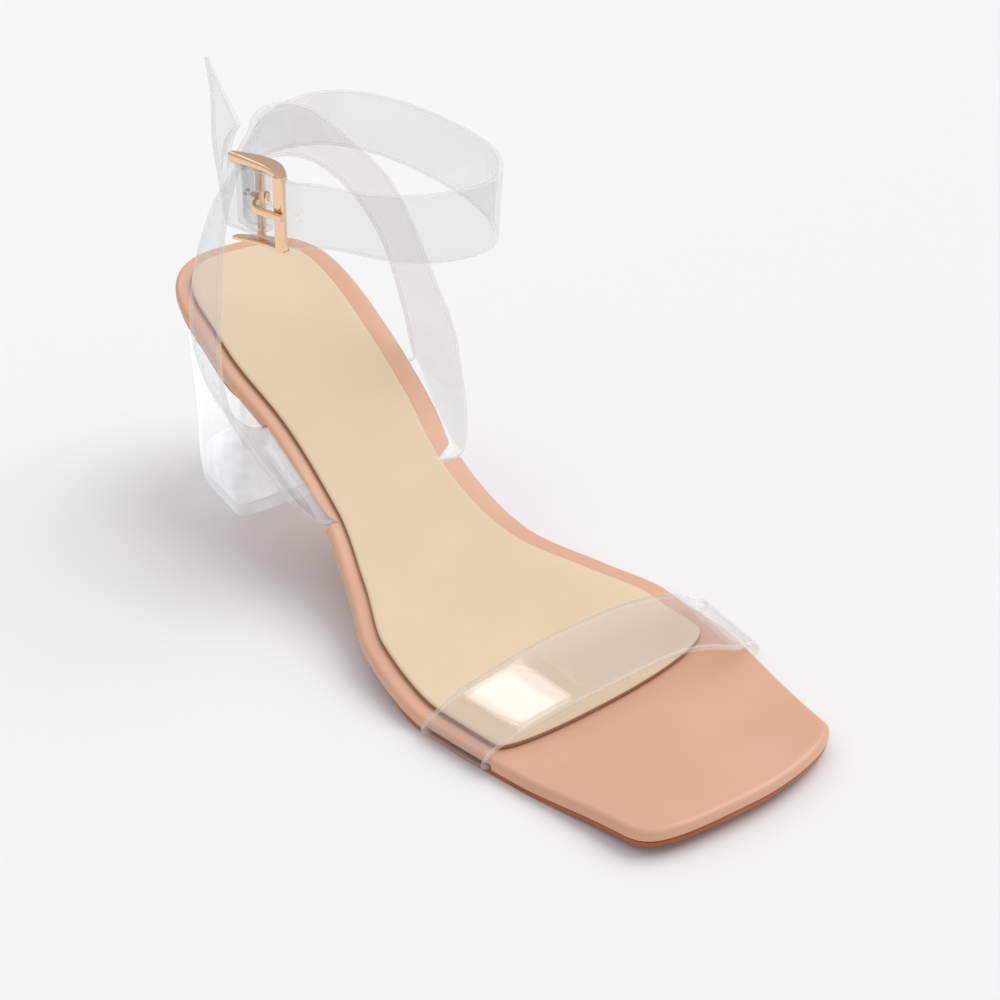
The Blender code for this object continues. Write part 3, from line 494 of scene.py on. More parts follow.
def settle(piece):
    """Apply the modifiers of a piece and keep its smooth shading."""
    graph = bpy.context.evaluated_depsgraph_get()
    mesh = bpy.data.meshes.new_from_object(piece.evaluated_get(graph))
    piece.modifiers.clear()
    piece.data = mesh
    mesh.shade_smooth()
    mesh.set_sharp_from_angle(angle=math.radians(SOFT_ANGLE))


def cut(piece, tools, operation="DIFFERENCE"):
    """Cut or join a piece with other meshes, apply it and remove them."""
    for tool in tools:
        change = piece.modifiers.new(tool.name, "BOOLEAN")
        change.operation = operation
        change.solver = "EXACT"
        change.object = tool
    settle(piece)
    for tool in tools:
        bpy.data.objects.remove(tool, do_unlink=True)


def capped(mesh_data, rings):
    """Skin closed rings one after another and cap both ends."""
    for before, after in zip(rings, rings[1:]):
        bridge(mesh_data, before, after)
    mesh_data.faces.new(rings[0])
    mesh_data.faces.new(rings[-1])
    return mesh_data


def stacked(rows, lower, upper):
    """Closed sole-shaped body from rows of outline, base height function and rise."""
    mesh_data = bmesh.new()
    rings = []
    for outline, base, rise in rows:
        heights = base(outline[:, 0], outline[:, 1]) + rise
        rings.append([
            mesh_data.verts.new(world(x, s, z)) for (x, s), z in zip(outline, heights)
        ])
    for below, above in zip(rings, rings[1:]):
        bridge(mesh_data, below, above)
    cover(mesh_data, rings[0], lower)
    cover(mesh_data, rings[-1], upper)
    return mesh_data


def layer_mesh(loop, profile, lower, upper):
    """A layer of the sole. The profile goes up its edge in rows of inset, base and rise."""
    rows = [(inset_loop(loop, inset), base, rise) for inset, base, rise in profile]
    return stacked(rows, lower, upper)


def rolled(base, radius, side, depth=0.0):
    """Profile rows round a rolled edge; side is 1 on an upper edge and -1 on a lower one."""
    rows = []
    for turn in range(0, 91, 15):
        angle = math.radians(turn if side > 0 else 90 - turn)
        inset = depth + radius * (1 - math.cos(angle))
        rows.append((inset, base, side * radius * (math.sin(angle) - 1)))
    return rows


def board_bottom(across, station):
    """Height of the board's lower face."""
    return bed_height(across, station) - BOARD_THICK


def flat(height):
    """A level height function."""
    return lambda across, station: np.zeros_like(np.asarray(station, float)) + height


def outsole_top(across, station):
    """Height of the outsole's upper face."""
    return board_bottom(across, station) - FIT_GAP


def outsole_bottom(across, station):
    """Height of the outsole's lower face."""
    return outsole_top(across, station) - OUTSOLE_THICK


def outsole_loop():
    """Plan outline of the outsole, drawn in under the waist."""
    along = RIM_LOOP[:, 1] / SOLE_LENGTH
    places = [row[0] for row in OUTSOLE_TABLE]
    return inset_loop(RIM_LOOP, smooth_curve(places, [row[1] for row in OUTSOLE_TABLE], along))


def heel_seat(across, station):
    """Height of the block heel's upper face, under the outsole."""
    return outsole_bottom(across, station) - FIT_GAP


def heel_loop(inset, front):
    """D-shaped outline of the block heel: the seat's curve behind, a flat face in front."""
    along = stations(inset, front, HEEL_CURVE, HEEL_CORNER, 8)
    lateral, medial = inset_half_widths(along, inset)
    corner = rounded_end(front - along, HEEL_CORNER, 2.0)
    corner = 1 - (1 - corner) * HEEL_CORNER / (SEAT_WIDTH / 2)
    return closed_loop(lateral * corner, medial * corner, along, inset, front)


def aim(rise, turn):
    """Unit vector of a strap's width, from degrees above level and degrees toward medial."""
    up = math.radians(rise)
    side = math.radians(turn)
    return np.array([math.cos(up) * math.sin(side), -math.cos(up) * math.cos(side), math.sin(up)])


def row(point, width_vector, width):
    """One strap row: centre, width vector and width."""
    return [*point, *width_vector, width]


def root_height():
    """Middle height of a strap where it leaves the sole at the waist."""
    return float(board_bottom(0.0, QUARTER_LATERAL)) + HALF_STRAP


def table_rows(table):
    """Strap rows from a table of shares."""
    root = root_height()
    rows = []
    for across, along, height, rise, turn, width in table:
        place = world(
            across * COLLAR_WIDTH / 2,
            along * SOLE_LENGTH,
            root + height * (COLLAR_HEIGHT - root),
        )
        rows.append(row(place, aim(rise, turn), width * STRAP_WIDTH))
    return rows


def quarter_station(side):
    """Station of the middle of an ankle strap's root."""
    return QUARTER_MEDIAL if side > 0 else QUARTER_LATERAL


def rim_slope(side):
    """Width vector along the sole's edge where an ankle strap leaves it, and its length."""
    front = quarter_station(side) + QUARTER_SPREAD / 2
    back = quarter_station(side) - QUARTER_SPREAD / 2
    index = max(side, 0)
    shift = side * float(rim_half_widths(front)[index] - rim_half_widths(back)[index])
    drop = float(board_bottom(0.0, front)) - float(board_bottom(0.0, back))
    vector = np.array([shift, -QUARTER_SPREAD, drop])
    length = float(np.linalg.norm(vector))
    return vector / length, length


def root_rows(side):
    """Rows of an ankle strap under the board and at its edge; side is -1 lateral, 1 medial."""
    station = quarter_station(side)
    edge = side * float(rim_half_widths(station)[max(side, 0)])
    vector, length = rim_slope(side)
    rows = []
    for inward in (TUCK_DEPTH, TUCK_DEPTH * 0.5, -FIT_GAP):
        across = edge - side * inward
        height = float(board_bottom(across, station)) + HALF_STRAP + TUCK_RAISE
        rows.append(row(world(across, station, height), vector, length))
    return rows


BUCKLE_FORWARD = np.array([
    math.sin(BUCKLE_TURN) * math.cos(BUCKLE_PITCH),
    -math.cos(BUCKLE_TURN) * math.cos(BUCKLE_PITCH),
    -math.sin(BUCKLE_PITCH),
])
BUCKLE_LEVEL = np.array([-math.cos(BUCKLE_TURN), -math.sin(BUCKLE_TURN), 0.0])
BUCKLE_UPRIGHT = np.cross(BUCKLE_LEVEL, BUCKLE_FORWARD)
BUCKLE_OUT = BUCKLE_LEVEL * math.cos(BUCKLE_LEAN) + BUCKLE_UPRIGHT * math.sin(BUCKLE_LEAN)
BUCKLE_UP = BUCKLE_UPRIGHT * math.cos(BUCKLE_LEAN) - BUCKLE_LEVEL * math.sin(BUCKLE_LEAN)


def buckle_point(forward, out, up=0.0):
    """A point in the buckle's own frame: forward along the strap, out of the foot, up."""
    root = root_height()
    across, along, height = BUCKLE_PLACE
    middle = np.array(world(
        across * COLLAR_WIDTH / 2,
        along * SOLE_LENGTH,
        root + height * (COLLAR_HEIGHT - root),
    ))
    return middle + BUCKLE_FORWARD * forward + BUCKLE_OUT * out + BUCKLE_UP * up


def long_strap_rows():
    """Lateral root, round the back and front of the ankle, through the buckle, free end."""
    rows = root_rows(-1)
    rows += table_rows(LONG_STRAP_TABLE)
    inside = (BUCKLE_FRONT, BUCKLE_FRONT / 2, 0.0, BUCKLE_BACK / 2, BUCKLE_BACK, BUCKLE_BACK * 1.25)
    for forward in inside:
        rows.append(row(buckle_point(forward, 0.0), BUCKLE_UP, STRAP_WIDTH))
    rows += table_rows(FREE_END_TABLE)
    return rows


def short_strap_rows():
    """Medial root, round the back of the ankle, and folded round the buckle's pin."""
    rows = root_rows(1)
    rows += table_rows(SHORT_STRAP_TABLE)
    pin = -PIN_DEPTH
    for forward, out in ((-0.0090, pin - 0.0005), (-0.0050, pin + 0.0010)):
        rows.append(row(buckle_point(forward, out), BUCKLE_UP, STRAP_WIDTH))
    for turn in (115, 90, 60, 30, 0, -30, -60, -90):
        angle = math.radians(turn)
        place = buckle_point(FOLD_RADIUS * math.cos(angle), pin + FOLD_RADIUS * math.sin(angle))
        rows.append(row(place, BUCKLE_UP, STRAP_WIDTH))
    layer = STRAP_THICK + FIT_GAP
    for forward, out in ((-0.0050, pin + 0.0010 - layer), (-0.0085, pin - 0.0004 - layer)):
        rows.append(row(buckle_point(forward, out), BUCKLE_UP, STRAP_WIDTH))
    return rows


def buckle_box(low, high):
    """Box between two corners in the buckle's frame, as a bmesh."""
    mesh_data = bmesh.new()
    corners = []
    back, inner, below = low
    front, outer, above = high
    for up in (below, above):
        for forward, out in ((back, inner), (front, inner), (front, outer), (back, outer)):
            corners.append(mesh_data.verts.new(buckle_point(forward, out, up)))
    return capped(mesh_data, [corners[:4], corners[4:]])


def buckle_rod(start, end, radius, sides=12):
    """Round rod between two points of the buckle's frame, as a bmesh."""
    first = buckle_point(*start)
    last = buckle_point(*end)
    along = (last - first) / np.linalg.norm(last - first)
    side = np.cross(along, BUCKLE_UP)
    if np.linalg.norm(side) < 0.5:
        side = np.cross(along, BUCKLE_OUT)
    side /= np.linalg.norm(side)
    up = np.cross(side, along)
    mesh_data = bmesh.new()
    rings = []
    for place in (first, last):
        ring = []
        for step in range(sides):
            angle = 2 * math.pi * (step + 0.5) / sides
            offset = side * math.cos(angle) + up * math.sin(angle)
            ring.append(mesh_data.verts.new(place + offset * radius))
        rings.append(ring)
    return capped(mesh_data, rings)


def toe_strap_rows():
    """Toe strap from its tuck under the lateral edge, over the foot, to the medial tuck."""
    rows = []
    middle = (TOE_STRAP_LATERAL + TOE_STRAP_MEDIAL) / 2
    base = bed_height(0.0, middle)
    under = board_bottom(0.0, middle) + HALF_STRAP
    ends = []
    roots = ((-1, TOE_STRAP_LATERAL, TOE_WIDTH_LATERAL), (1, TOE_STRAP_MEDIAL, TOE_WIDTH_MEDIAL))
    for side, station, width in roots:
        index = max(side, 0)
        back = side * float(rim_half_widths(station - width / 2)[index])
        front = side * float(rim_half_widths(station + width / 2)[index])
        here = side * float(rim_half_widths(station)[index])
        vector = np.array([front - back - index * TOE_STRAP_BULGE, -width, 0.0])
        ends.append((here, station, vector / np.linalg.norm(vector)))
    clear = FIT_GAP + HALF_STRAP
    tuck = [(-TUCK_DEPTH, under), (-TUCK_DEPTH * 0.5, under), (-0.0008, under)]
    lateral_wrap = tuck + [
        # out from the rim, height
        (clear * 0.8, under + 0.0006),
        (clear + 0.0001, (under + base) / 2),
        (clear * 0.75, base - 0.0003),
        (-0.0008, base + clear),
        (-0.0030, base + clear + SOCK_THICK * 0.6),
    ]
    bulge = TOE_STRAP_BULGE / 2
    medial_wrap = tuck + [
        (clear * 0.8 + bulge * 0.5, under + 0.0007),
        (clear + bulge, (under + base) / 2 + bulge * 0.3),
        (clear * 0.75 + bulge * 0.7, base + bulge * 0.4),
        (-0.0012, base + clear + bulge * 0.7),
    ]
    here, station, vector = ends[0]
    for out, height in lateral_wrap:
        rows.append(row(world(here - out, station, height), vector, TOE_WIDTH_LATERAL))
    start, finish = ends
    floor = base + FIT_GAP + SOCK_THICK + clear
    for share, height, width, drop in TOE_ARCH_TABLE:
        place = world(
            start[0] + (finish[0] - start[0]) * share,
            start[1] + (TOE_ARCH_MEDIAL - start[1]) * share,
            floor + TOE_STRAP_RISE * height,
        )
        blend = start[2] * (1 - share) + finish[2] * share - np.array([0.0, 0.0, drop])
        rows.append(row(place, blend / np.linalg.norm(blend), TOE_STRAP_WIDTH * width))
    here, station, vector = ends[1]
    for out, height in medial_wrap[::-1]:
        rows.append(row(world(here + out, station, height), vector, TOE_WIDTH_MEDIAL))
    return rows


def tuck_ends():
    """Inner and outer row of each tucked strap end, and how far it sits above the board's face."""
    toe = toe_strap_rows()
    return [
        (root_rows(-1)[0], root_rows(-1)[-1], TUCK_RAISE),
        (root_rows(1)[0], root_rows(1)[-1], TUCK_RAISE),
        (toe[0], toe[2], 0.0),
        (toe[-1], toe[-3], 0.0),
    ]


def pocket_rows(inner, outer):
    """Rows of the pocket round a tucked strap end, open below and at the board's edge."""
    first = np.array(inner[:3])
    last = np.array(outer[:3])
    reach = (last - first) / np.linalg.norm(last - first)
    first = first - reach * FIT_GAP
    last = last + reach * POCKET_MOUTH
    sunk = np.array([0.0, 0.0, -POCKET_MOUTH / 2])
    width = inner[6] + 2 * POCKET_SIDE
    return [row(point + sunk, inner[3:6], width) for point in (first, (first + last) / 2, last)]


def arm_place(share):
    """Middle, width and thickness of a buckle arm; share runs from -1 at the back to 1."""
    swell = math.cos(share * math.pi / 2)
    wide = ARM_END_WIDTH + (ARM_MIDDLE_WIDTH - ARM_END_WIDTH) * swell
    thick = (ARM_THICK_FRONT * (1 + share) + ARM_THICK_BACK * (1 - share)) / 2
    end_out = SIDE_BAR_IN + SIDE_BAR_THICK / 2 if share > 0 else 0.0
    middle_out = ARM_MIDDLE_WIDTH / 2 - PIN_DEPTH - PIN_RADIUS * 0.8
    return end_out * (1 - swell) + middle_out * swell, wide, thick


def pin_rod(sides=12):
    """The pin, from inside the lower arm to inside the upper one, as a bmesh."""
    thick = arm_place(-PIN_SET_BACK / (BUCKLE_LENGTH / 2))[2]
    low = ARM_GAP + thick - ARM_THICK_FRONT / 2
    high = ARM_GAP + ARM_THICK_FRONT / 2
    return buckle_rod((0.0, -PIN_DEPTH, -low), (0.0, -PIN_DEPTH, high), PIN_RADIUS, sides)


def prong_rows():
    """Rows of the prong: a ring round the pin and a tongue that rests on the front bar."""
    ring_radius = PIN_RADIUS + FIT_GAP + PRONG_THICK / 2
    pin = -PIN_DEPTH
    tip = SIDE_BAR_IN + SIDE_BAR_THICK + FIT_GAP + PRONG_THICK / 2
    route = []
    for turn in range(-30, -271, -20):
        angle = math.radians(turn)
        route.append((ring_radius * math.cos(angle), pin + ring_radius * math.sin(angle)))
    route += [
        # forward, out
        (0.0013, -0.0016),
        (0.0024, -0.0004),
        (0.0035, 0.0012),
        (0.0053, tip * 0.78),
        (BUCKLE_FRONT * 0.72, tip),
        (BUCKLE_FRONT + 0.0005, tip),
    ]
    return [row(buckle_point(forward, out), BUCKLE_UP, PRONG_WIDTH) for forward, out in route]


def section(width, thick):
    """Points of a strap's section: flat faces and rounded edges, as (across, out)."""
    half = width / 2
    shoulder = min(STRAP_SHOULDER, width / 4)
    deep = thick / 2
    points = []
    for side in (1, -1):
        for step in range(FACE_POINTS):
            share = 1 - 2 * step / (FACE_POINTS - 1)
            points.append((side * share * (half - shoulder), side * deep))
        for step in range(1, EDGE_POINTS + 1):
            angle = math.pi / 2 + math.pi * step / (EDGE_POINTS + 1)
            across = -(half - shoulder) + shoulder * math.cos(angle)
            points.append((side * across, side * deep * math.sin(angle)))
    return points


def ribbon(rows, count, thick=STRAP_THICK, edged=False):
    """Closed strap through rows of centre point, width vector and width, as a bmesh.

    An edged strap has its cut edges and ends in the second material.
    """
    dense = spline(rows, count)
    centre = dense[:, :3]
    across = dense[:, 3:6] / np.linalg.norm(dense[:, 3:6], axis=1)[:, None]
    along = np.gradient(centre, axis=0)
    normal = np.cross(along, across)
    normal /= np.linalg.norm(normal, axis=1)[:, None]
    mesh_data = bmesh.new()
    rings = []
    for place, side, out, wide in zip(centre, across, normal, dense[:, 6]):
        ring = []
        for u, v in section(wide, thick):
            ring.append(mesh_data.verts.new(place + side * u + out * v))
        rings.append(ring)
    capped(mesh_data, rings)
    half = len(rings[0]) // 2
    for index, face in enumerate(mesh_data.faces):
        on_edge = index % half >= FACE_POINTS - 1 or len(face.verts) > 4
        face.material_index = 1 if edged and on_edge else 0
    return mesh_data


# Materials


def new_node(tree, kind, values=()):
    """New shader node of a kind, with its inputs' values given by name."""
    made = tree.nodes.new("ShaderNode" + kind)
    for name, value in dict(values).items():
        made.inputs[name].default_value = value
    return made


def join(source, output, target, socket):
    """Link an output of one node to an input of another."""
    source.id_data.links.new(source.outputs[output], target.inputs[socket])


def new_material(name, colour, roughness, metallic=0.0):
    """Principled material; returns the material, its nodes and its shader."""
    made = bpy.data.materials.new(name)
    made.use_nodes = True
    shader = made.node_tree.nodes["Principled BSDF"]
    shader.inputs["Base Color"].default_value = (*colour, 1.0)
    shader.inputs["Roughness"].default_value = roughness
    shader.inputs["Metallic"].default_value = metallic
    return made, made.node_tree, shader


def noise(tree, scale, detail=3.0, stretch=(1.0, 1.0, 1.0)):
    """Noise in the object's own space; returns the texture node."""
    place = new_node(tree, "TexCoord")
    spread = new_node(tree, "Mapping", {"Scale": stretch})
    texture = new_node(tree, "TexNoise", {"Scale": scale, "Detail": detail})
    join(place, "Object", spread, "Vector")
    join(spread, "Vector", texture, "Vector")
    return texture


def vary(tree, texture, shader, socket, low, high):
    """Drive a number of the shader between two values with a texture."""
    spread = new_node(tree, "MapRange", {
        "From Min": 0.3, "From Max": 0.7, "To Min": low, "To Max": high,
    })
    join(texture, "Fac", spread, "Value")
    join(spread, "Result", shader, socket)


def tint(tree, texture, shader, socket, first, second):
    """Drive a colour of the shader between two colours with a texture."""
    blend = new_node(tree, "ValToRGB")
    for stop, position, colour in zip(blend.color_ramp.elements, (0.35, 0.65), (first, second)):
        stop.position = position
        stop.color = (*colour, 1.0)
    join(texture, "Fac", blend, "Fac")
    join(blend, "Color", shader, socket)


def relief(tree, shader, layers):
    """Chain bumps from (texture, output, strength, distance) onto the shader's normal."""
    before = None
    for texture, output, strength, distance in layers:
        bump = new_node(tree, "Bump", {"Strength": strength, "Distance": distance})
        join(texture, output, bump, "Height")
        if before:
            join(before, "Normal", bump, "Normal")
        before = bump
    join(before, "Normal", shader, "Normal")


def leather(name, first, second, smooth, rough, grain, coat=0.0):
    """Leather with a fine pebble, soft waves and an uneven sheen."""
    made, tree, shader = new_material(name, first, rough)
    tint(tree, noise(tree, 28.0), shader, "Base Color", first, second)
    vary(tree, noise(tree, 90.0), shader, "Roughness", smooth, rough)
    place = new_node(tree, "TexCoord")
    pebble = new_node(tree, "TexVoronoi", {"Scale": 1500.0})
    join(place, "Object", pebble, "Vector")
    relief(tree, shader, [
        (noise(tree, 160.0, 2.0), "Fac", 0.25, 0.0004),
        (pebble, "Distance", grain, 0.00006),
    ])
    shader.inputs["Coat Weight"].default_value = coat
    shader.inputs["Coat Roughness"].default_value = 0.28
    return made


def see_through(tree, shader, share, tone=(1.0, 1.0, 1.0)):
    """Lay a share of the shader over what shows through in a tone; returns the mix node."""
    behind = new_node(tree, "BsdfTransparent", {"Color": (*tone, 1.0)})
    mix = new_node(tree, "MixShader", {"Fac": share})
    tree.links.new(behind.outputs["BSDF"], mix.inputs[1])
    tree.links.new(shader.outputs["BSDF"], mix.inputs[2])
    join(mix, "Shader", tree.nodes["Material Output"], "Surface")
    return mix


def film(name, tone, haze, veil, grazing, roughness, wave, wave_depth, glow=0.0):
    """Clear plastic: it dims what lies behind it and mirrors the studio, most at its turns.

    The share of the mirror runs from veil, face on, to grazing. With glow it also gives off
    painted light: an emission in upright bands that stands in for the light a thick block gathers.
    """
    made, tree, shader = new_material(name, haze, roughness, 0.75)
    # Painted light: an emission whose colour runs in upright bands from half the haze tone to the
    # full haze tone.
    if glow:
        dim_glow = tuple(0.5 * part for part in haze)
        glow_streaks = noise(tree, 150.0, 2.0, (1.0, 1.0, 0.06))
        tint(tree, glow_streaks, shader, "Emission Color", dim_glow, haze)
        shader.inputs["Emission Strength"].default_value = glow
    relief(tree, shader, [(noise(tree, wave, 2.0), "Fac", 0.3, wave_depth)])
    turn = new_node(tree, "LayerWeight", {"Blend": 0.5})
    steep = tree.nodes.new("ShaderNodeMath")
    steep.operation = "POWER"
    steep.inputs[1].default_value = 4.0
    share = new_node(tree, "MapRange", {"To Min": veil, "To Max": grazing})
    mix = see_through(tree, shader, veil, tone)
    tree.links.new(turn.outputs["Facing"], steep.inputs[0])
    join(steep, "Value", share, "Value")
    join(share, "Result", mix, "Fac")
    return made


def cut_edge(name, colour, share):
    """Cut edge of the vinyl: a soft tone over what lies behind it."""
    made, tree, shader = new_material(name, colour, 0.3)
    vary(tree, noise(tree, 300.0), shader, "Roughness", 0.22, 0.4)
    see_through(tree, shader, share)
    return made


def plated(name, colour):
    """Polished plate with fine hairlines and slightly uneven shine."""
    made, tree, shader = new_material(name, colour, 0.12, 1.0)
    vary(tree, noise(tree, 260.0), shader, "Roughness", 0.09, 0.19)
    hairs = noise(tree, 900.0, 4.0, (1.0, 1.0, 0.12))
    relief(tree, shader, [(hairs, "Fac", 0.08, 0.00003)])
    return made


def edge_leather(name, first, second):
    """Burnished outsole: layered fibres along the edge and scuffs."""
    made, tree, shader = new_material(name, first, 0.45)
    tint(tree, noise(tree, 70.0), shader, "Base Color", first, second)
    vary(tree, noise(tree, 140.0), shader, "Roughness", 0.38, 0.6)
    fibres = noise(tree, 600.0, 4.0, (0.3, 0.3, 3.0))
    relief(tree, shader, [(fibres, "Fac", 0.3, 0.0001)])
    return made


# Pieces


def make_board(surface):
    """Wrapped sole board with a rolled edge and pockets for the strap ends."""
    profile = rolled(board_bottom, UNDER_ROUND, -1)
    profile += rolled(bed_height, EDGE_ROUND, 1)
    mesh_data = layer_mesh(RIM_LOOP, profile, board_bottom, bed_height)
    piece = build("wrapped_board", mesh_data, [surface], "nude_wrap")
    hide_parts("sole_board")
    cut(piece, tuck_tools(surface))


def tuck_tools(surface):
    """Cutters for the pockets that take the ends of the straps."""
    tools = []
    for number, (inner, outer, raised) in enumerate(tuck_ends()):
        lift = POCKET_MOUTH + STRAP_THICK + 2 * FIT_GAP + raised
        pocket = ribbon(pocket_rows(inner, outer), 3, lift)
        tools.append(build(f"pocket_{number}", pocket, [surface], None))
    return tools


def make_sock(surface, side):
    """Padded sock with a soft crowned edge; its side is painted dark brown as shade along the edge.
    """
    along = stations(SOCK_INSET, SOCK_LENGTH, SOCK_HEEL_ROUND, SOCK_TOE_ROUND)
    lateral, medial = inset_half_widths(along, SOCK_INSET)
    lateral = lateral * rounded_end(SOCK_LENGTH - along, *SOCK_LATERAL_CORNER)
    medial = medial * rounded_end(SOCK_LENGTH - along, *SOCK_MEDIAL_CORNER)
    loop = closed_loop(lateral + SOCK_SHIFT, medial - SOCK_SHIFT, along, SOCK_INSET, SOCK_LENGTH)
    front = np.clip((loop[:, 1] / SOCK_LENGTH - 0.8) / 0.2, 0.0, 1.0)
    loop[:, 1] -= SOCK_SKEW * front * loop[:, 0] / (BALL_WIDTH / 2)

    def sock_bottom(across, station):
        return bed_height(across, station) + FIT_GAP

    def sock_top(across, station):
        return sock_bottom(across, station) + SOCK_THICK

    profile = [(0.0, sock_bottom, 0.0), (-SOCK_SWELL, sock_bottom, SOCK_FOOT)]
    profile += rolled(sock_top, SOCK_CROWN, 1, -SOCK_SWELL)
    mesh_data = layer_mesh(loop, profile, sock_bottom, sock_top)
    # The side faces take the second material: painted shade, dark brown along the sock's edge.
    for face in list(mesh_data.faces)[:len(loop) * 4]:
        face.material_index = 1
    piece = build("padded_sock", mesh_data, [surface, side], "beige_sock")
    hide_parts("insole_sock")


def make_outsole(surface):
    """Thin outsole with a burnished edge."""
    profile = [
        (OUTSOLE_EDGE, outsole_bottom, 0.0),
        (OUTSOLE_EDGE * 0.3, outsole_bottom, OUTSOLE_EDGE * 0.3),
        (0.0, outsole_bottom, OUTSOLE_EDGE),
        (0.0, outsole_top, -OUTSOLE_EDGE),
        (OUTSOLE_EDGE * 0.3, outsole_top, 0.0),
    ]
    mesh_data = layer_mesh(outsole_loop(), profile, outsole_bottom, outsole_top)
    piece = build("burnished_outsole", mesh_data, [surface], "brown_outsole")
    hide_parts("outsole")


def heel_mesh(levels, lower, upper):
    """A heel piece between rows of inset, front, base function and rise."""
    rows = [(heel_loop(inset, front), base, rise) for inset, front, base, rise in levels]
    return stacked(rows, lower, upper)


def eased(inset, front, base, low, high):
    """Two heel rows and the rounded corner between them, for an upper or a lower edge."""
    rows = []
    side = 1 if high > low else -1
    for turn in (0, 30, 60, 90):
        angle = math.radians(turn)
        back = HEEL_EDGE * (1 - math.cos(angle))
        rise = low + side * HEEL_EDGE * math.sin(angle)
        rows.append((inset + back, front - back, base, rise))
    return rows if side > 0 else rows[::-1]


def make_heel(surface, tread):
    """Clear block heel and its top piece."""
    foot = flat(TOP_PIECE_THICK + FIT_GAP)
    waist_inset = (HEEL_INSET_TOP + HEEL_INSET_FOOT) / 2 + HEEL_EDGE
    waist_front = (HEEL_FRONT_TOP + HEEL_FRONT_FOOT) / 2 - HEEL_EDGE
    levels = eased(HEEL_INSET_FOOT, HEEL_FRONT_FOOT, foot, HEEL_EDGE, 0.0)
    waist = flat((HEEL_RISE + TREAD_TOP) * HEEL_WAIST_SHARE)
    levels.append((waist_inset, waist_front, waist, 0.0))
    levels.append((HEEL_INSET_TOP, HEEL_FRONT_TOP, heel_seat, -3 * HEEL_EDGE))
    levels += eased(HEEL_INSET_TOP, HEEL_FRONT_TOP, heel_seat, -HEEL_EDGE, 0.0)
    mesh_data = heel_mesh(levels, foot, heel_seat)
    block = build("clear_block_heel", mesh_data, [surface], "clear_heel", HARD_ANGLE)
    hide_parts("heel_block")
    ground = flat(0.0)
    base = HEEL_INSET_FOOT + TOP_PIECE_INSET
    front = HEEL_FRONT_FOOT - TOP_PIECE_INSET
    levels = eased(base, front, ground, HEEL_EDGE, 0.0)
    levels += eased(base, front, ground, TOP_PIECE_THICK - HEEL_EDGE, TOP_PIECE_THICK)
    mesh_data = heel_mesh(levels, ground, flat(TOP_PIECE_THICK))
    piece = build("clear_top_piece", mesh_data, [tread], "clear_heel", HARD_ANGLE)
    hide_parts("heel_top_piece")


def make_ankle_strap(surface, edge):
    """Both ankle straps, with the punched holes and the slots for the prong."""
    around = ribbon(long_strap_rows(), LONG_STRAP_COUNT, edged=True)
    strap = build("long_ankle_strap", around, [surface, edge], "clear_strap")
    tools = []
    for number, place in enumerate(HOLE_PLACES):
        forward = place * HOLE_PITCH
        rod = buckle_rod((forward, -PUNCH_REACH), (forward, PUNCH_REACH), HOLE_RADIUS, ROD_SIDES)
        tools.append(build(f"punch_{number}", rod, [surface], None))
    slot = PRONG_SLOT / 2
    window = buckle_box((-slot, -PUNCH_REACH, -slot), (slot * 3, PUNCH_REACH, slot))
    tools.append(build("prong_window", window, [surface], None))
    cut(strap, tools)
    folded = ribbon(short_strap_rows(), SHORT_STRAP_COUNT, edged=True)
    short = build("short_ankle_strap", folded, [surface, edge], "clear_strap")
    deep = PIN_DEPTH + FOLD_RADIUS + STRAP_THICK
    notch = buckle_box((-slot * 2.2, -deep, -slot), (FOLD_RADIUS * 2, -HALF_STRAP, slot))
    cut(short, [build("fold_notch", notch, [surface], None)])
    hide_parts("ankle_strap")
    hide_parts("ankle_strap")


def make_toe_strap(surface, edge):
    """Wide clear toe strap."""
    mesh_data = ribbon(toe_strap_rows(), TOE_STRAP_COUNT, edged=True)
    piece = build("clear_toe_strap", mesh_data, [surface, edge], "clear_strap")
    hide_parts("toe_strap")


def arm_mesh(side):
    """Upper (side 1) or lower (side -1) arm of the buckle, broad in the middle."""
    mesh_data = bmesh.new()
    rings = []
    for step in range(ARM_STEPS + 1):
        share = -1 + 2 * step / ARM_STEPS
        centre, wide, thick = arm_place(share)
        outer = ARM_GAP + thick
        inner = ARM_GAP if side > 0 else outer - ARM_THICK_FRONT
        radius = (outer - inner) * 0.3
        corners = (
            # out, up, turn in degrees
            (centre + wide / 2 - radius, outer - radius, 0),
            (centre - wide / 2 + radius, outer - radius, 90),
            (centre - wide / 2 + radius, inner + radius, 180),
            (centre + wide / 2 - radius, inner + radius, 270),
        )
        ring = []
        for out, up, turn in corners:
            for extra in range(0, 91, 18):
                angle = math.radians(turn + extra)
                ring.append((out + radius * math.cos(angle), up + radius * math.sin(angle)))
        forward = PIN_SET_BACK + share * BUCKLE_LENGTH / 2
        rings.append([
            mesh_data.verts.new(buckle_point(forward, out, side * up)) for out, up in ring
        ])
    return capped(mesh_data, rings)


def make_buckle(surface):
    """Buckle frame: two broad arms, the front bar and the pin."""
    piece = build("rose_buckle_frame", arm_mesh(1), [surface], "rose_gold", HARD_ANGLE)
    lower = build("lower_arm", arm_mesh(-1), [surface], None, HARD_ANGLE)
    pin = build("pin", pin_rod(ROD_SIDES), [surface], None)
    reach = ARM_GAP + ARM_THICK_FRONT * 0.8
    low = (BUCKLE_FRONT - SIDE_BAR_WIDTH, SIDE_BAR_IN, -reach)
    high = (BUCKLE_FRONT - BAR_SET_BACK, SIDE_BAR_IN + SIDE_BAR_THICK, reach)
    bar = build("front_bar", buckle_box(low, high), [surface], None)
    soften = bar.modifiers.new("bar_bevel", "BEVEL")
    soften.width = BAR_BEVEL
    soften.segments = 5
    cut(piece, [lower, pin, bar], "UNION")
    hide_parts("buckle_frame")


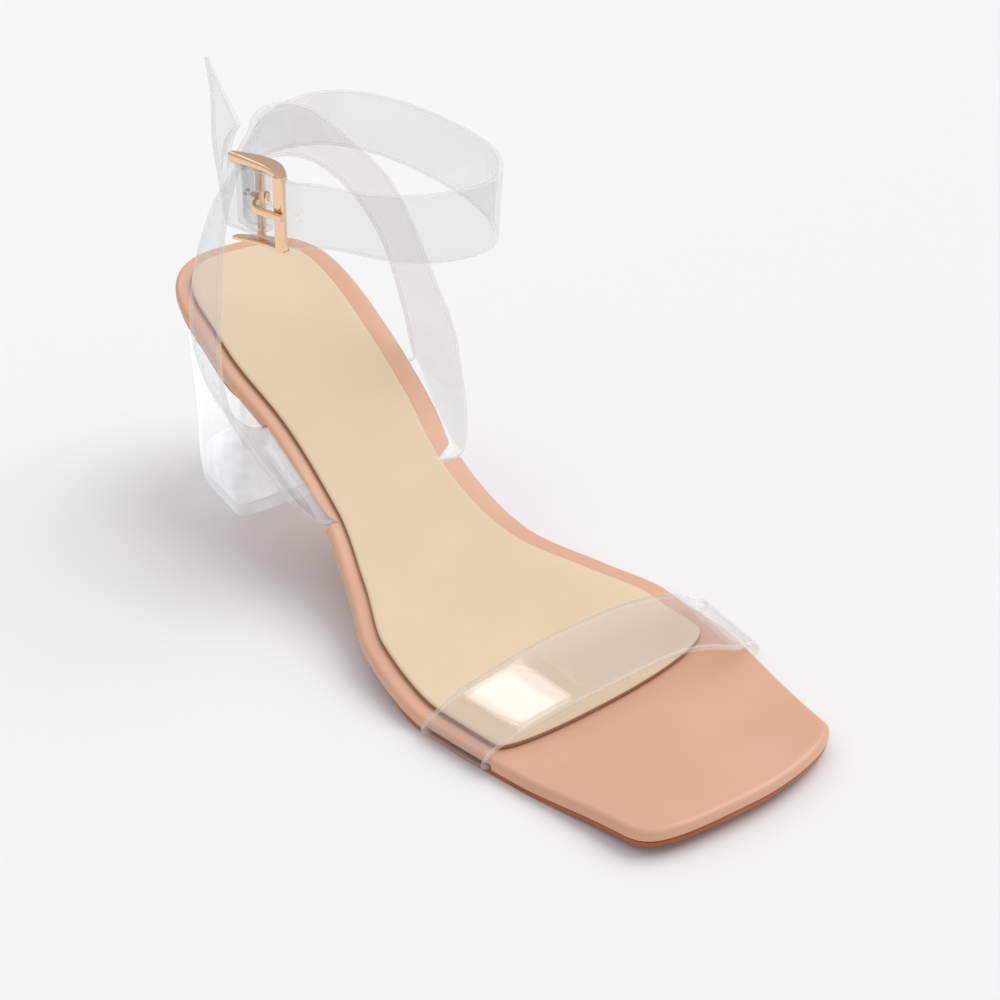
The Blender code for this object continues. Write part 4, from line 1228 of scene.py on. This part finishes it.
def make_prong(surface):
    """The prong, ringed round the pin and resting on the front bar."""
    mesh_data = ribbon(prong_rows(), PRONG_COUNT, PRONG_THICK)
    piece = build("rose_buckle_prong", mesh_data, [surface], "rose_gold", HARD_ANGLE)
    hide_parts("buckle_prong")


# Floor, light and camera


def make_floor():
    """Large plain pale floor."""
    mesh_data = bmesh.new()
    bmesh.ops.create_grid(mesh_data, x_segments=1, y_segments=1, size=FLOOR_SIZE)
    mesh = bpy.data.meshes.new("floor")
    mesh_data.to_mesh(mesh)
    mesh_data.free()
    floor = bpy.data.objects.new("floor", mesh)
    bpy.context.scene.collection.objects.link(floor)
    made, tree, shader = new_material("floor_paper", FLOOR_COLOUR, 0.9)
    shader.inputs["Specular IOR Level"].default_value = 0.1
    floor.data.materials.append(made)


def area_light(name, direction, distance, size, radiance):
    """A softbox at a distance in a direction, with a given brightness of its face."""
    data = bpy.data.lights.new(name, "AREA")
    data.shape = "RECTANGLE"
    data.size = size[0]
    data.size_y = size[1]
    data.energy = radiance * math.pi * size[0] * size[1]
    lamp = bpy.data.objects.new(name, data)
    bpy.context.scene.collection.objects.link(lamp)
    way = Vector(direction).normalized()
    lamp.location = Vector(LIGHT_TARGET) + way * distance
    lamp.rotation_euler = (-way).to_track_quat("-Z", "Y").to_euler()


def make_light():
    """Grey studio walls, a bright ceiling, a wide soft key and small softboxes."""
    world_data = bpy.data.worlds.new("studio")
    bpy.context.scene.world = world_data
    world_data.use_nodes = True
    tree = world_data.node_tree
    sky = tree.nodes["Background"]
    place = new_node(tree, "TexCoord")
    split = new_node(tree, "SeparateXYZ")
    fade = new_node(tree, "ValToRGB")
    stops = fade.color_ramp.elements
    for index, (share, colour) in enumerate(SKY_STOPS):
        stop = stops[index] if index < 2 else stops.new(share)
        stop.position = share
        stop.color = colour
    join(place, "Generated", split, "Vector")
    join(split, "Z", fade, "Fac")
    join(fade, "Color", sky, "Color")
    sky.inputs["Strength"].default_value = WORLD_STRENGTH
    sun_data = bpy.data.lights.new("wide_key", "SUN")
    sun_data.energy = SUN_STRENGTH
    sun_data.angle = math.radians(SUN_SPREAD)
    sun = bpy.data.objects.new("wide_key", sun_data)
    bpy.context.scene.collection.objects.link(sun)
    sun.rotation_euler = (-Vector(SUN_WAY)).to_track_quat("-Z", "Y").to_euler()
    for softbox in SOFTBOXES:
        area_light(*softbox)


def make_camera():
    """Camera at the photograph's angle, with its small tilt."""
    data = bpy.data.cameras.new("camera")
    data.sensor_fit = "HORIZONTAL"
    data.sensor_width = CAMERA_SENSOR
    data.lens = CAMERA_SENSOR * LENS_PIXELS / PHOTO_PIXELS
    data.shift_x = CAMERA_SHIFT
    camera = bpy.data.objects.new("camera", data)
    bpy.context.scene.collection.objects.link(camera)
    azimuth = math.radians(CAMERA_AZIMUTH)
    elevation = math.radians(CAMERA_ELEVATION)
    back = Vector((
        math.sin(azimuth) * math.cos(elevation),
        -math.cos(azimuth) * math.cos(elevation),
        math.sin(elevation),
    ))
    right = Vector((math.cos(azimuth), math.sin(azimuth), 0.0))
    up = back.cross(right)
    roll = math.radians(CAMERA_ROLL)
    side = right * math.cos(roll) + up * math.sin(roll)
    top = up * math.cos(roll) - right * math.sin(roll)
    place = Matrix((side, top, back)).transposed().to_4x4()
    place.translation = Vector(CAMERA_TARGET) + back * CAMERA_DISTANCE
    camera.matrix_world = place
    bpy.context.scene.camera = camera


def main():
    """Dress the frame."""
    wrap = leather(
        "nude_wrap_leather", (0.77, 0.43, 0.29), (0.73, 0.40, 0.26),
        smooth=0.34, rough=0.46, grain=0.10, coat=0.25,
    )
    lining = leather(
        "sock_leather", (0.82, 0.64, 0.46), (0.79, 0.61, 0.43),
        smooth=0.6, rough=0.75, grain=0.16,
    )
    # The sock's side: painted shade, a dark brown line along the sock's edge.
    sock_side_shade = leather(
        "sock_side_painted_shade", (0.34, 0.17, 0.09), (0.40, 0.21, 0.12),
        smooth=0.5, rough=0.65, grain=0.16,
    )
    sole = edge_leather("outsole_leather", (0.40, 0.11, 0.035), (0.50, 0.16, 0.05))
    vinyl = film(
        "clear_vinyl", tone=(0.945, 0.945, 0.945), haze=(0.86, 0.88, 0.89),
        veil=0.06, grazing=0.5, roughness=0.05, wave=60.0, wave_depth=0.0004,
    )
    toe_vinyl = film(
        "clear_toe_vinyl", tone=(0.985, 0.982, 0.978), haze=(0.93, 0.93, 0.94),
        veil=0.09, grazing=0.7, roughness=0.03, wave=40.0, wave_depth=0.00012,
    )
    vinyl_edge = cut_edge("vinyl_edge", (0.86, 0.82, 0.78), 0.35)
    toe_edge = cut_edge("toe_vinyl_edge", (0.97, 0.95, 0.92), 0.35)
    # The heel block and its top piece carry painted glow: an emission that lightens them as if
    # light gathered in the block.
    acrylic = film(
        "clear_acrylic_painted_glow", tone=(0.985, 0.987, 0.99), haze=(0.93, 0.95, 0.96),
        veil=0.32, grazing=0.8, roughness=0.04, wave=30.0, wave_depth=0.0003, glow=0.34,
    )
    tread = film(
        "clear_tread_painted_glow", tone=(0.97, 0.975, 0.98), haze=(0.97, 0.98, 0.99),
        veil=0.36, grazing=0.9, roughness=0.1, wave=80.0, wave_depth=0.0004, glow=0.3,
    )
    gold = plated("rose_gold_plate", (0.93, 0.62, 0.40))
    make_board(wrap)
    make_sock(lining, sock_side_shade)
    make_outsole(sole)
    make_heel(acrylic, tread)
    make_ankle_strap(vinyl, vinyl_edge)
    make_toe_strap(toe_vinyl, toe_edge)
    make_buckle(gold)
    make_prong(gold)
    make_floor()
    make_light()
    make_camera()
    bpy.context.scene.view_settings.view_transform = "Standard"


main()
